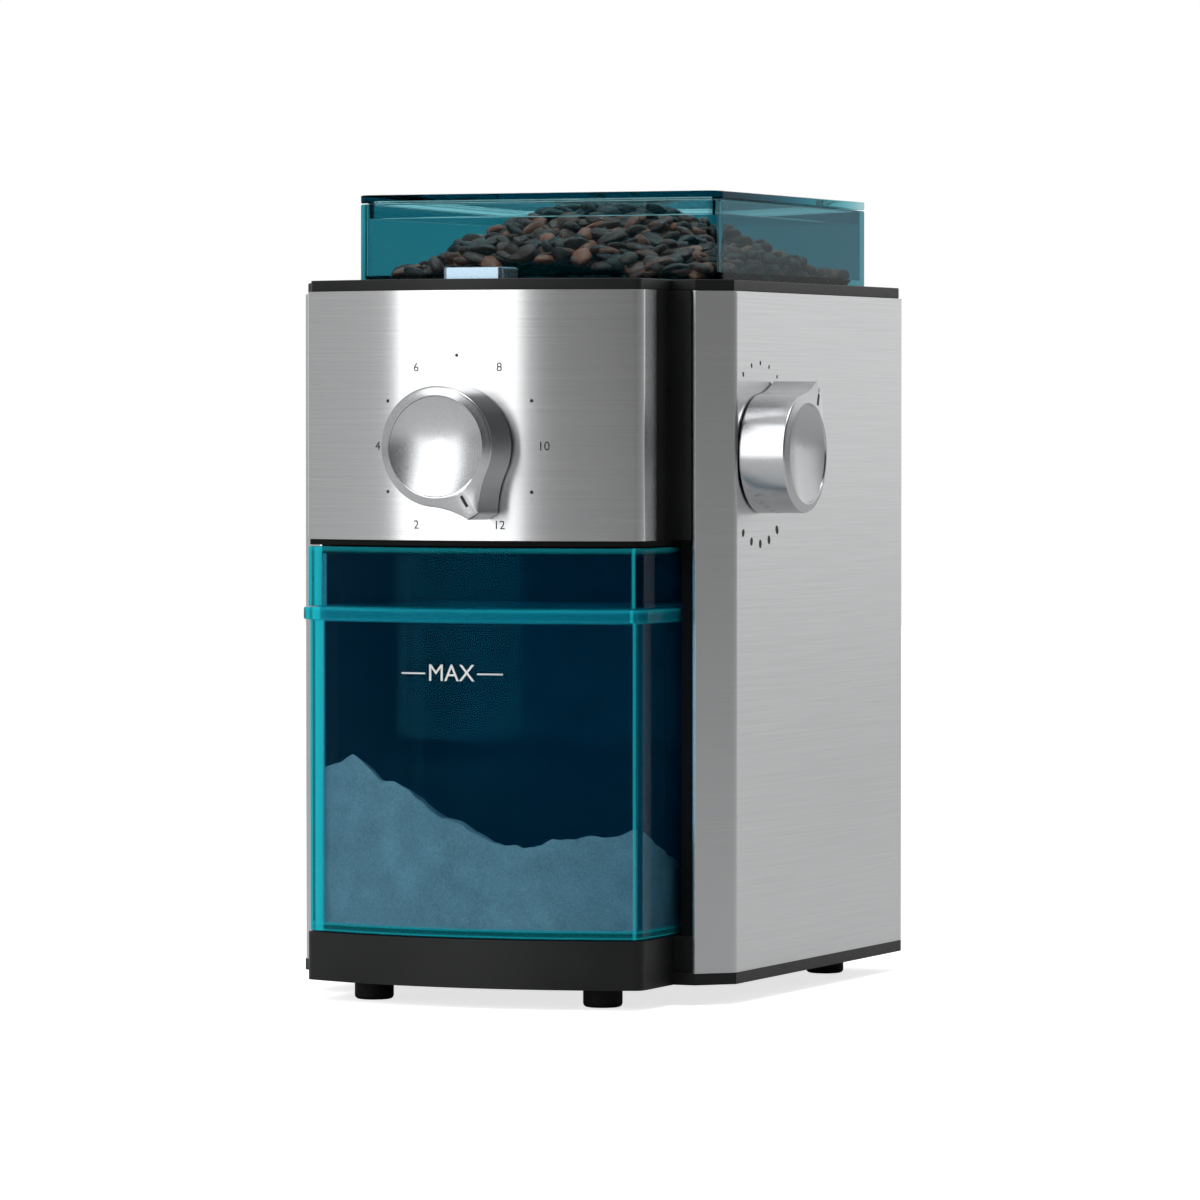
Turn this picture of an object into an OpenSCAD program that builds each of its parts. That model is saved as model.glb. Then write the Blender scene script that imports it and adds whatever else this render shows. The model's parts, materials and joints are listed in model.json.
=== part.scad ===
// Burr coffee grinder: steel body, lift-off bean hopper, grounds container,
// vertical motor with flat burrs, cup dial in front and grind knob at the side.
// Millimetres, +Z up, the front faces -Y, table at z = 0.

/* [Overall size] */
// Height from the table to the hopper lid
height = 260; // [240:1:300]
// Width across the steel sleeve
width = 152; // [140:1:176]
// Depth from the crown of the front to the back
depth = 202; // [186:1:230]

/* [Body] */
// Rubber foot height
foot_h = 6.5; // [4:0.5:12]
// Rubber foot diameter
foot_d = 12.6; // [10:0.2:20]
// Plinth height above the feet
base_h = 15.5; // [12:0.5:24]
// Steel sheet thickness
sheet = 1.0; // [0.8:0.1:1.5]
// Front corner chamfer of the sleeve
chamfer = 10; // [6:0.5:14]
// How far the sleeve stands behind the front crown
sleeve_set = 38; // [30:1:44]
// How far the front block is narrower than the sleeve, each side
block_set = 17.5; // [15:0.5:20]
// How far the front bows out
bow = 12; // [8:0.5:16]
// Thickness of the black top deck
deck_t = 3.6; // [3:0.2:5]

/* [Knobs] */
// Dial diameter
knob_d = 38.4; // [32:0.2:44]
// How far a knob stands out
knob_h = 16.5; // [12:0.5:22]
// Shaft diameter of both knobs
knob_shaft_d = 6; // [5:0.5:8]

/* [Containers] */
// Wall of the clear parts
clear_wall = 2.2; // [1.8:0.1:3]
// Depth of the container bay
bay_depth = 92; // [80:1:96]
// Height of the hopper above the deck
hopper_h = 29; // [22:1:50]

/* [Grinding] */
// Burr diameter
burr_d = 52; // [44:1:56]
// Motor lamination diameter
stator_d = 66; // [56:1:70]
// Motor shaft diameter
motor_shaft_d = 8; // [6:0.5:10]
// Carrier lift from the finest to the coarsest setting
grind_lift = 1.2; // [0.8:0.1:2]

/* [Clearances] */
// Gap between a moving part and what it moves past
gap = 0.3; // [0.3:0.1:0.6]
// Radial clearance of a shaft that turns in a bore
run = 0.05; // [0.02:0.01:0.1]
// Radial clearance of a part pressed or screwed to its own body
seat = 0.02; // [0.01:0.01:0.05]

/* [Hidden] */
$fn = 96;

// levels
z_foot = foot_h;
z_bay = foot_h + base_h;
z_strip = foot_h + 3.7;
z_block = 0.57 * height;
z_seat = height - hopper_h;
z_deck = z_seat - deck_t;
z_lid = height - 3;
z_dial = z_block + 29.8;
z_grind = z_block + 27.4;
z_ledge = z_block - 25.8;
front_y = -depth / 2;
back_y = depth / 2;
sleeve_y = front_y + sleeve_set;
bay_y = front_y + bay_depth;
axis_y = 0.15 * depth;
block_half = width / 2 - block_set;
bow_r = (block_half * block_half + bow * bow) / (2 * bow);
arc_y = front_y + bow_r;
corner_r = 4;
rear_r = 5;
ledge = 1.5;
bay_half = block_half + ledge + gap + 0.3;
side_x = width / 2;
knob_y = sleeve_y + chamfer + 20;
lock_y = front_y + 12;
total_x = knob_h + gap;
total_y = knob_h + gap;
shaft_r = motor_shaft_d / 2;
kshaft_r = knob_shaft_d / 2;
burr_r = burr_d / 2;
chamber_in = burr_r + 4.5;
chamber_out = chamber_in + 2.5;
z_plate = z_block + 3;
z_burr = z_plate + 6.3;
z_arm = z_grind + 7.6;
cam_r = 7.3;
motor_z = z_bay + 2;
motor_l = z_block - motor_z;
chute_y = front_y + 55;
flange_x = side_x - chamfer - 1.3;
cam_x = side_x - 16;
arm_l = sqrt(cam_x * cam_x + (axis_y - knob_y) * (axis_y - knob_y));
arm_a = -atan2(axis_y - knob_y, cam_x);
hop_x = width / 2 - 12;
hop_y0 = sleeve_y + 23.8;
hop_y1 = back_y - 4.1;

// moves the body-centred model so that the whole part is centred on the origin
module place() {
    translate([-total_x / 2, total_y / 2, 0]) children();
}

// plan with the bowed front, t inside the face, out to the line rear
module front_plan(half, t, rear) {
    rr = bow_r - t;
    rc = corner_r - t > 1 ? corner_r - t : 1;
    cx = half - rc;
    cy = arc_y - sqrt((rr - rc) * (rr - rc) - cx * cx);
    xt = cx * rr / (rr - rc);
    union() {
        intersection() {
            translate([0, arc_y]) circle(r = rr, $fn = 360);
            translate([-xt, front_y - 5]) square([2 * xt, cy - front_y + 5.5]);
        }
        for (s = [-1, 1])
            translate([s * cx, cy]) circle(r = rc);
        translate([-half, cy]) square([2 * half, rear - cy]);
    }
}

// plan of the sleeve, t inside its outer face
module sleeve_plan(t) {
    h = side_x - t;
    c = chamfer - t * (2 - sqrt(2));
    y0 = sleeve_y + t;
    y1 = back_y - t;
    r = rear_r - t > 1 ? rear_r - t : 1;
    union() {
        polygon([[-h, y0 + c], [-h + c, y0], [h - c, y0], [h, y0 + c], [h, y1 - r], [-h, y1 - r]]);
        translate([-h + r, y1 - 2 * r]) square([2 * (h - r), 2 * r]);
        for (s = [-1, 1])
            translate([s * (h - r), y1 - r]) circle(r = r);
    }
}

// rounded rectangle plan
module round_plan(x0, x1, y0, y1, r) {
    union() {
        translate([x0 + r, y0]) square([x1 - x0 - 2 * r, y1 - y0]);
        translate([x0, y0 + r]) square([x1 - x0, y1 - y0 - 2 * r]);
        for (x = [x0 + r, x1 - r])
            for (y = [y0 + r, y1 - r])
                translate([x, y]) circle(r = r);
    }
}

module slab(z0, z1) {
    translate([0, 0, z0]) linear_extrude(height = z1 - z0) children();
}

module block(x0, x1, y0, y1, z0, z1) {
    translate([x0, y0, z0]) cube([x1 - x0, y1 - y0, z1 - z0]);
}

// upright tube or disc on the motor axis
module ring(r1, r0, z0, z1) {
    translate([0, axis_y, z0]) difference() {
        cylinder(r = r1, h = z1 - z0);
        translate([0, 0, -1]) cylinder(r = r0, h = z1 - z0 + 2);
    }
}

// cylinder along -Y, from y0 forward to y1 (y1 < y0)
module front_rod(r, y0, y1, x = 0, z = z_dial) {
    translate([x, y0, z]) rotate([90, 0, 0]) cylinder(r = r, h = y0 - y1);
}

// cylinder along +X
module side_rod(r, x0, x1, y = knob_y, z = z_grind) {
    translate([x0, y, z]) rotate([0, 90, 0]) cylinder(r = r, h = x1 - x0);
}

foot_pos = [[-40, front_y + 24], [40, front_y + 24], [-width / 2 + 20, back_y - 24],
            [width / 2 - 20, back_y - 24]];
post_pos = [[-side_x + 14, back_y - 13], [side_x - 14, back_y - 13]];
ear_a = [20, 90, 160];
damper_pos = [for (a = [45, 135, 225, 315]) [0.43 * stator_d * cos(a), 0.43 * stator_d * sin(a)]];

// ---------- fixed body ----------
module base() {
    color("#1c1d1f") difference() {
        union() {
            slab(z_foot, z_strip) sleeve_plan(0);
            slab(z_foot, z_bay) front_plan(block_half, 0, sleeve_y + 8);
            slab(z_foot, z_bay) sleeve_plan(sheet + 0.2);
        }
        slab(z_strip + 2, z_bay + 1) intersection() {
            sleeve_plan(sheet + 4);
            translate([-width, bay_y + 6]) square([2 * width, depth]);
        }
        for (i = [-3:3])
            block(i * 9 - 1.5, i * 9 + 1.5, axis_y - 12, axis_y + 12, 0, z_strip + 3);
        for (p = foot_pos)
            translate([p[0], p[1], 0]) cylinder(r = 3, h = z_foot + 3.2);
        for (s = [-1, 1]) {
            translate([s * (bay_half + 3), sleeve_y + 9, 0]) cylinder(r = 1.8, h = z_bay + 1);
            translate([s * (bay_half + 3), sleeve_y + 9, 0]) cylinder(r = 3.6, h = z_foot + 3.4);
        }
        for (p = post_pos) {
            translate([p[0], p[1], 0]) cylinder(r = 1.8, h = z_bay + 1);
            translate([p[0], p[1], 0]) cylinder(r = 3.6, h = z_foot + 3.4);
        }
    }
}

module rubber_feet() {
    color("#0f0f10") for (p = foot_pos)
        translate([p[0], p[1], 0]) rotate_extrude()
            polygon([[0, 0], [foot_d / 2 - 0.8, 0], [foot_d / 2, 0.8], [foot_d / 2, z_foot],
                     [2.9, z_foot], [2.9, z_foot + 3], [0, z_foot + 3]]);
}

module base_screws() {
    color("#8f9297") {
        for (s = [-1, 1])
            translate([s * (bay_half + 3), sleeve_y + 9, 0]) screw_up(z_foot + 0.6, z_bay + 14);
        for (p = post_pos)
            translate([p[0], p[1], 0]) screw_up(z_foot + 0.6, z_strip + 16);
    }
}

// screw with its head down at z0 and its tip at z1
module screw_up(z0, z1) {
    difference() {
        union() {
            translate([0, 0, z0]) cylinder(r = 3.4, h = 2.4);
            translate([0, 0, z0 + 2.4]) cylinder(r = 1.5, h = z1 - z0 - 2.4);
        }
        translate([-0.4, -2.6, z0 - 1]) cube([0.8, 5.2, 1.9]);
        translate([-2.6, -0.4, z0 - 1]) cube([5.2, 0.8, 1.9]);
    }
}

// screw with its head up at z1 and its tip at z0
module screw_down(z0, z1) {
    difference() {
        union() {
            translate([0, 0, z1 - 2.4]) cylinder(r = 3.2, h = 2.4);
            translate([0, 0, z0]) cylinder(r = 1.5, h = z1 - z0 - 2.4);
        }
        translate([-0.4, -2.4, z1 - 0.9]) cube([0.8, 4.8, 1.9]);
        translate([-2.4, -0.4, z1 - 0.9]) cube([4.8, 0.8, 1.9]);
    }
}

module steel_sleeve() {
    color("#b9bbbd") difference() {
        slab(z_strip, z_deck) difference() {
            sleeve_plan(0);
            sleeve_plan(sheet);
            translate([-(side_x - chamfer - 1), sleeve_y - 1])
                square([2 * (side_x - chamfer - 1), sheet + 2]);
        }
        side_rod(7, side_x - 4, side_x + 2);
        translate([-side_x + 34, back_y + 2, z_bay + 16]) rotate([90, 0, 0]) cylinder(r = 8.2, h = 6);
    }
}

module core_frame() {
    color("#17181a") difference() {
        union() {
            // cheeks beside the container, behind the sleeve's chamfered edges
            slab(z_bay, z_deck) intersection() {
                sleeve_plan(sheet + 0.2);
                for (s = [-1, 1])
                    translate([s * (bay_half + 20), sleeve_y + 8]) square([40, 14], center = true);
            }
            for (s = [-1, 1])
                block(s > 0 ? bay_half : -bay_half - 2.5, s > 0 ? bay_half + 2.5 : -bay_half,
                      sleeve_y + 8, bay_y + 2.5, z_bay, z_block);
            block(-bay_half - 1, bay_half + 1, bay_y, bay_y + 2.5, z_bay, z_block);
            slab(z_block - 1.8, z_block) front_plan(block_half - 0.6, 0.6, sleeve_y + 8);
            slab(z_block - 1.8, z_block) translate([-bay_half - 1, sleeve_y + 3])
                square([2 * bay_half + 2, bay_y - sleeve_y - 1]);
            // guides of the board
            for (s = [-1, 1])
                block(s * 46.5 - 2.5, s * 46.5 + 2.5, front_y + 27, front_y + 34, z_block - 1, z_deck - 6);
        }
        // drop hole of the chute
        block(-11, 11, chute_y - 12, chute_y + 12, z_block - 5, z_block + 5);
        block(-45.2, 45.2, front_y + 29.4, front_y + 31.2, z_block, z_deck);
        for (s = [-1, 1])
            translate([s * (bay_half + 3), sleeve_y + 9, z_bay - 1]) cylinder(r = 1.5 + seat, h = 15.1);
    }
}

module front_carrier() {
    color("#202124") difference() {
        union() {
            slab(z_block, z_deck) difference() {
                front_plan(block_half - sheet - 0.05, sheet + 0.05, sleeve_y + 0.8);
                front_plan(block_half - sheet - 2.6, sheet + 2.6, sleeve_y + 3);
            }
            // closes the groove beside the block
            for (s = [-1, 1])
                block(s > 0 ? block_half - 4 : -flange_x, s > 0 ? flange_x : -block_half + 4,
                      sleeve_y - 1.2, sleeve_y + 0.8, z_block, z_deck);
        }
        front_rod(4.6 + seat, front_y + 20, front_y - 5);
    }
}

module front_panel() {
    color("#c4c6c8") difference() {
        slab(z_block, z_deck) difference() {
            front_plan(block_half, 0, sleeve_y - 14);
            front_plan(block_half - sheet, sheet, sleeve_y);
        }
        front_rod(4.6 + seat, front_y + 20, front_y - 5);
    }
}

module top_deck() {
    color("#232426") difference() {
        union() {
            slab(z_deck, z_seat) sleeve_plan(1);
            slab(z_deck, z_seat) front_plan(block_half - 1, 1, sleeve_y + 10);
        }
        translate([0, axis_y, z_deck - 1]) cylinder(r = 53, h = deck_t + 2);
        slab(z_deck - 1, z_seat + 1)
            round_plan(-10.3 - 0.4, 10.3 + 0.4, lock_y - 0.4, lock_y + 14.4, 2);
        for (p = post_pos)
            translate([p[0], p[1], z_deck - 1]) {
                cylinder(r = 1.6, h = deck_t + 2);
                translate([0, 0, deck_t + 1 - 2.6]) cylinder(r = 3.3, h = 4);
            }
    }
}

module deck_screws() {
    color("#8f9297") for (p = post_pos)
        translate([p[0], p[1], 0]) screw_down(z_deck - 11, z_seat - 0.2);
}

module support_posts() {
    color("#2a2b2e") for (p = post_pos) {
        translate([p[0], p[1], z_strip + 2]) difference() {
            cylinder(r = 5, h = z_block - z_strip - 2);
            translate([0, 0, -1]) cylinder(r = 1.5 + seat, h = 16);
        }
        translate([p[0], p[1], z_plate]) difference() {
            cylinder(r = 5, h = z_deck - z_plate);
            translate([0, 0, z_deck - z_plate - 12]) cylinder(r = 1.5 + seat, h = 13);
        }
    }
}

module motor_plate() {
    color("#9a9da1") difference() {
        slab(z_block, z_plate) intersection() {
            sleeve_plan(sheet + 2.5);
            translate([-width, bay_y + 0.5]) square([2 * width, depth]);
        }
        block(-13.2, 13.2, bay_y, bay_y + 2.6, z_block - 1, z_plate + 1);
        translate([0, axis_y, z_block - 1]) cylinder(r = 9, h = 6);
        ear_holes(1.5 + seat);
        for (p = damper_pos)
            translate([p[0], axis_y + p[1], z_block - 1]) cylinder(r = 2.2, h = 6);
        block(-side_x + 10, -side_x + 26, axis_y - 8, axis_y + 8, z_block - 1, z_plate + 1);
    }
}

module motor_dampers() {
    color("#111214") for (p = damper_pos)
        translate([p[0], axis_y + p[1], 0]) union() {
            translate([0, 0, motor_z + 0.9 * motor_l]) cylinder(r = 5, h = z_block - motor_z - 0.9 * motor_l);
            translate([0, 0, z_block - 0.5]) cylinder(r = 2.1, h = 2.5);
        }
}

module lower_damper() {
    color("#111214") ring(20, 14, z_strip + 2, motor_z);
}

module lower_bracket() {
    color("#a4a7aa") difference() {
        union() {
            ring(12, shaft_r + 5.5 + seat, motor_z, motor_z + 0.09 * motor_l);
            ring(0.515 * stator_d, 12 - 1, motor_z, motor_z + 3);
        }
        for (a = [0:60:300])
            translate([0, axis_y, motor_z]) rotate([0, 0, a]) translate([21.5, 0, -1]) cylinder(r = 4.2, h = 5);
        for (p = damper_pos)
            translate([p[0], axis_y + p[1], motor_z - 1]) cylinder(r = 2 + seat, h = 12);
    }
}

module upper_bracket() {
    color("#a4a7aa") difference() {
        union() {
            ring(12, shaft_r + 5.5 + seat, motor_z + 0.83 * motor_l, motor_z + 0.92 * motor_l);
            ring(0.515 * stator_d, 12 - 1, motor_z + 0.87 * motor_l, motor_z + 0.9 * motor_l);
        }
        for (a = [0:60:300])
            translate([0, axis_y, motor_z + 0.8 * motor_l]) rotate([0, 0, a])
                translate([21.5, 0, -1]) cylinder(r = 4.2, h = 20);
        for (p = damper_pos)
            translate([p[0], axis_y + p[1], motor_z + 0.8 * motor_l]) cylinder(r = 2 + seat, h = 20);
    }
}

module bearings() {
    color("#c9ccd0") {
        ring(shaft_r + 5.5, shaft_r + run, motor_z + 0.6, motor_z + 0.09 * motor_l);
        ring(shaft_r + 5.5, shaft_r + run, motor_z + 0.83 * motor_l, motor_z + 0.92 * motor_l);
    }
}

module stator() {
    color("#7d8085") difference() {
        translate([0, axis_y, motor_z + 0.26 * motor_l]) intersection() {
            cylinder(r = stator_d / 2, h = 0.38 * motor_l);
            translate([-stator_d / 2, -0.44 * stator_d, 0]) cube([stator_d, 0.88 * stator_d, motor_l]);
        }
        translate([0, axis_y, motor_z]) cylinder(r = 0.31 * stator_d, h = motor_l);
        for (s = [0, 180])
            translate([0, axis_y, motor_z]) rotate([0, 0, s])
                translate([0.2 * stator_d, -6, 0]) cube([0.19 * stator_d, 12, motor_l]);
        for (p = damper_pos)
            translate([p[0], axis_y + p[1], motor_z]) cylinder(r = 2 + seat, h = motor_l);
    }
}

module field_coils() {
    color("#9c4a22") for (s = [0, 180])
        translate([0, axis_y, 0]) rotate([0, 0, s]) {
            translate([0.325 * stator_d, -5.6, motor_z + 0.2 * motor_l])
                cube([0.055 * stator_d, 11.2, 0.5 * motor_l]);
        }
}

module motor_bolts() {
    color("#8f9297") for (p = damper_pos)
        translate([p[0], axis_y + p[1], 0]) union() {
            translate([0, 0, motor_z - 2.5]) cylinder(r = 3.6, h = 2.5, $fn = 6);
            translate([0, 0, motor_z]) cylinder(r = 2, h = 0.895 * motor_l);
        }
}

module brush_holders() {
    color("#4a3524") for (s = [0, 180])
        translate([0, axis_y, motor_z + 0.1 * motor_l]) rotate([0, 0, s]) difference() {
            union() {
                translate([10.5, -4.5, 0]) cube([16, 9, 9]);
                translate([20, -4.5, -0.1 * motor_l + 3]) cube([6.5, 9, 0.1 * motor_l - 3]);
            }
            translate([5, -2.6, 2.4]) cube([30, 5.2, 4.2]);
        }
}

module carbon_brushes() {
    color("#2b2b2d") for (s = [0, 180])
        translate([0, axis_y, motor_z + 0.1 * motor_l]) rotate([0, 0, s])
            translate([9.4, -2.5, 2.5]) cube([12, 5, 4]);
}

module grind_chamber() {
    color("#b0b3b6") difference() {
        union() {
            ring(chamber_out, chamber_in, z_plate, z_burr + 24);
            ring(chamber_out, 8 + seat, z_plate, z_plate + 3);
            for (a = ear_a)
                translate([0, axis_y, 0]) rotate([0, 0, a])
                    block(chamber_out - 1, chamber_out + 8, -5, 5, z_plate, z_plate + 3);
        }
        ear_holes(1.5 + seat);
        block(-11, 11, axis_y - chamber_out - 2, axis_y - chamber_in + 4, z_plate + 3, z_plate + 13.8);
    }
}

module ear_holes(r) {
    for (a = ear_a)
        translate([0, axis_y, z_block - 1]) rotate([0, 0, a])
            translate([chamber_out + 4.4, 0, 0]) cylinder(r = r, h = 8);
}

module chamber_screws() {
    color("#8f9297") for (a = ear_a)
        translate([0, axis_y, 0]) rotate([0, 0, a]) translate([chamber_out + 4.4, 0, 0])
            screw_down(z_block + 0.3, z_plate + 5.4);
}

module chamber_seal() {
    color("#c9b48a") ring(8, shaft_r + 0.3, z_plate, z_plate + 3);
}

module grounds_chute() {
    color("#1a1b1d") difference() {
        union() {
            block(-13, 13, chute_y - 14, bay_y + 2.4, z_block, z_plate + 16);
            block(-13, 13, bay_y + 2, axis_y - chamber_in, z_plate + 1.2, z_plate + 16);
        }
        translate([-11, 0, 0]) rotate([90, 0, 90]) linear_extrude(height = 22)
            polygon([[axis_y, z_plate + 13.8], [chute_y - 12, z_plate + 13.8], [chute_y - 12, z_block - 2],
                     [chute_y + 12, z_block - 2], [chute_y + 12, z_block + 1.4], [axis_y - 30, z_plate + 3],
                     [axis_y, z_plate + 3]]);
        translate([0, axis_y, z_block - 1]) cylinder(r = chamber_out + 0.1, h = 40);
    }
}

module timer_unit() {
    color("#34373b") difference() {
        union() {
            front_rod(14, front_y + 29.3, front_y + 4.6);
            front_rod(4.6, front_y + 7, front_y - 4.2);
            block(-16, 16, front_y + 20, front_y + 29.3, z_dial - 16, z_dial + 16);
        }
        front_rod(kshaft_r + run, front_y + 26, front_y - 6);
    }
}

module timer_nut() {
    color("#c9ccd0") difference() {
        front_rod(8, front_y - 0.1, front_y - 2.6, $fn = 6);
        front_rod(4.6 + seat, front_y + 1, front_y - 4);
    }
}

module control_board() {
    color("#2f6b3f") block(-45, 45, front_y + 29.4 + seat, front_y + 31.1, z_block, z_deck - 8);
}

module board_parts() {
    color("#3a3d42") {
        block(-38, -18, front_y + 31.1, front_y + 43, z_block + 34, z_block + 50);
        block(14, 30, front_y + 31.1, front_y + 40, z_block + 34, z_block + 58);
        for (i = [0:2])
            translate([-6 + i * 7, front_y + 31.1, z_block + 30]) rotate([-90, 0, 0]) cylinder(r = 3, h = 9);
        block(-38, -6, front_y + 31.1, front_y + 34, z_block + 54, z_block + 66);
    }
}

module button_guide() {
    color("#202124") difference() {
        block(-13.5, 13.5, lock_y - 3, lock_y + 17, z_deck - 14, z_deck);
        block(-11, 11, lock_y - 0.7, lock_y + 14.7, z_deck - 12, z_deck + 1);
        translate([0, lock_y + 7, z_deck - 15]) cylinder(r = 2.4, h = 6);
    }
}

module start_switch() {
    color("#2b2d30") union() {
        block(-8, 8, lock_y + 2, lock_y + 12, z_deck - 24, z_deck - 14);
        translate([0, lock_y + 7, z_deck - 14.5]) cylinder(r = 2, h = 2);
    }
}

module hopper_switch() {
    color("#2b2d30") block(-side_x + 8, -side_x + 16, knob_y - 8, knob_y + 12, z_deck - 12, z_deck);
}

module container_switch() {
    color("#2b2d30") block(24, 44, bay_y + 2.5, bay_y + 12.5, z_block - 34, z_block - 20);
}

module grind_bush() {
    color("#202124") difference() {
        union() {
            side_rod(11, side_x - sheet - 9, side_x - sheet - 0.05);
            side_rod(6.8, side_x - sheet - 1, side_x);
        }
        side_rod(kshaft_r + run, side_x - 20, side_x + 4);
    }
}

module cord_gland() {
    color("#0f0f10") translate([-side_x + 34, back_y, z_bay + 16]) rotate([90, 0, 0]) difference() {
        union() {
            cylinder(r = 8, h = 4);
            translate([0, 0, sheet + 0.1]) cylinder(r = 11, h = 3);
            translate([0, 0, 3]) cylinder(r = 7, h = 12);
        }
        translate([0, 0, -1]) cylinder(r = 4, h = 18);
    }
}

// ---------- rotor ----------
module motor_shaft() {
    color("#d0d3d6") translate([0, axis_y, motor_z - 1.5]) cylinder(r = shaft_r, h = z_burr + 9 - motor_z + 1.5);
}

module armature_core() {
    color("#6d7075") difference() {
        ring(0.31 * stator_d - 0.5, shaft_r + seat, motor_z + 0.28 * motor_l, motor_z + 0.62 * motor_l);
        for (i = [0:11])
            translate([0, axis_y, motor_z]) rotate([0, 0, i * 30])
                translate([0.31 * stator_d - 2.5, -0.8, 0]) cube([4, 1.6, motor_l]);
    }
}

module armature_windings() {
    color("#a8552a") {
        ring(0.26 * stator_d, shaft_r + seat, motor_z + 0.22 * motor_l, motor_z + 0.28 * motor_l);
        ring(0.26 * stator_d, shaft_r + seat, motor_z + 0.62 * motor_l, motor_z + 0.69 * motor_l);
    }
}

module commutator() {
    color("#b87333") difference() {
        ring(9, shaft_r + seat, motor_z + 0.1 * motor_l, motor_z + 0.2 * motor_l);
        for (i = [0:23])
            translate([0, axis_y, motor_z]) rotate([0, 0, i * 15])
                translate([8, -0.25, 0]) cube([3, 0.5, motor_l]);
    }
}

module cooling_fan() {
    color("#e4e4e0") union() {
        ring(7, shaft_r + seat, motor_z + 0.71 * motor_l, motor_z + 0.79 * motor_l);
        ring(0.37 * stator_d, shaft_r + 1, motor_z + 0.71 * motor_l, motor_z + 0.725 * motor_l);
        for (i = [0:9])
            translate([0, axis_y, motor_z + 0.715 * motor_l]) rotate([0, 0, i * 36])
                translate([6.5, -0.7, 0]) cube([0.37 * stator_d - 7.5, 1.4, 0.06 * motor_l]);
    }
}

module sweeper() {
    color("#e4e4e0") difference() {
        union() {
            ring(burr_r + 3, shaft_r + seat, z_burr - 2.5, z_burr);
            ring(9.8, shaft_r + seat, z_burr - 2.5, z_burr + 4);
        }
        for (i = [0:5])
            translate([0, axis_y, z_burr - 4]) rotate([0, 0, i * 60])
                translate([burr_r + 0.8, -4, 0]) cube([6, 8, 6]);
    }
}

module lower_burr() {
    color("#dfe2e5") difference() {
        ring(burr_r, 10, z_burr, z_burr + 6);
        for (i = [0:17])
            translate([0, axis_y, z_burr + 6]) rotate([0, 0, i * 20])
                translate([9, 3, -1.1]) rotate([0, 0, 8]) cube([burr_r, 1.2, 3]);
    }
}

module burr_nut() {
    color("#c9ccd0") difference() {
        translate([0, axis_y, z_burr + 4]) cylinder(r = 7, h = 4, $fn = 6);
        translate([0, axis_y, z_burr]) cylinder(r = shaft_r + seat, h = 12);
    }
}

// ---------- upper burr, raised and lowered by the cam ----------
module upper_burr() {
    color("#dfe2e5") difference() {
        ring(burr_r, 14, z_burr + 6.8, z_burr + 12.8);
        for (i = [0:17])
            translate([0, axis_y, z_burr + 6.8]) rotate([0, 0, i * 20])
                translate([13, 3, -1.9]) rotate([0, 0, -8]) cube([burr_r, 1.2, 3]);
        for (a = [90, 210, 330])
            translate([0, axis_y, z_burr]) rotate([0, 0, a]) translate([21, 0, 0]) cylinder(r = 1.7, h = 20);
    }
}

module burr_screws() {
    color("#8f9297") for (a = [90, 210, 330])
        translate([0, axis_y, 0]) rotate([0, 0, a]) translate([21, 0, 0])
            union() {
                translate([0, 0, z_burr + 8.2]) cylinder(r = 1.6, h = 8.4);
            }
}

module burr_carrier() {
    color("#8d9094") difference() {
        union() {
            ring(chamber_in - gap, 14.5, z_burr + 12.8, z_burr + 17);
            ring(19, 14.5, z_burr + 16, z_burr + 31);
            // arm that rides on the cam
            slab(z_arm, z_arm + 4) union() {
                translate([0, axis_y]) rotate([0, 0, arm_a]) translate([16, -6]) square([arm_l - 16, 12]);
                translate([cam_x - 5.5, knob_y - 7]) square([11, 14]);
            }
        }
        for (a = [90, 210, 330])
            translate([0, axis_y, z_burr]) rotate([0, 0, a]) translate([21, 0, 0])
                cylinder(r = 1.6 + seat, h = 16.7);
        translate([0, axis_y, z_burr]) cylinder(r = 15, h = 40);
    }
}
// ---------- knobs ----------
// knob about the +Z axis, its skirt at z = 0, nose towards +X
module knob() {
    difference() {
        union() {
            rotate_extrude() polygon([[0, 0.6], [knob_d / 2 - 0.6, 0], [knob_d / 2, 0.6],
                                      [knob_d / 2 - 0.7, knob_h - 1.2], [knob_d / 2 - 1.9, knob_h],
                                      [knob_d / 2 - 3.1, knob_h - 0.6], [knob_d / 2 - 7, knob_h - 2.2],
                                      [0, knob_h - 3.2]]);
            intersection() {
                linear_extrude(height = knob_h) polygon([[knob_d / 2 - 6, -9.5], [knob_d / 2 + 6.2, -1.6],
                                                         [knob_d / 2 + 6.2, 1.6], [knob_d / 2 - 6, 9.5]]);
                translate([0, 0, 0.2]) cylinder(r = knob_d / 2 + 6, h = knob_h - 0.5);
            }
        }
        translate([0, 0, -1]) cylinder(r = kshaft_r + seat, h = knob_h - 5);
        // room for the nut and the bush
        translate([0, 0, -1]) cylinder(r = 10, h = 6);
    }
}

module dial_at() {
    translate([0, front_y - gap, z_dial]) rotate([90, 0, 0]) rotate([0, 0, -60]) children();
}

module grind_at() {
    translate([side_x + gap, knob_y, z_grind]) rotate([90, 0, 90]) rotate([0, 0, 60.75]) children();
}

module index_dot() {
    translate([knob_d / 2 + 1.6, 0, knob_h - 0.3]) cylinder(r = 1.3, h = 0.3);
}

module dial_knob() {
    color("#b7babd") dial_at() knob();
}

module dial_index() {
    color("#f2f2ee") dial_at() index_dot();
}

module dial_shaft() {
    color("#c9ccd0") front_rod(kshaft_r, front_y + 24, front_y - gap - knob_h + 6.2);
}

module grind_knob() {
    color("#b7babd") grind_at() knob();
}

module grind_index() {
    color("#f2f2ee") grind_at() index_dot();
}

module grind_shaft() {
    color("#c9ccd0") side_rod(kshaft_r, cam_x - 6, side_x + gap + knob_h - 6.2);
}

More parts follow.
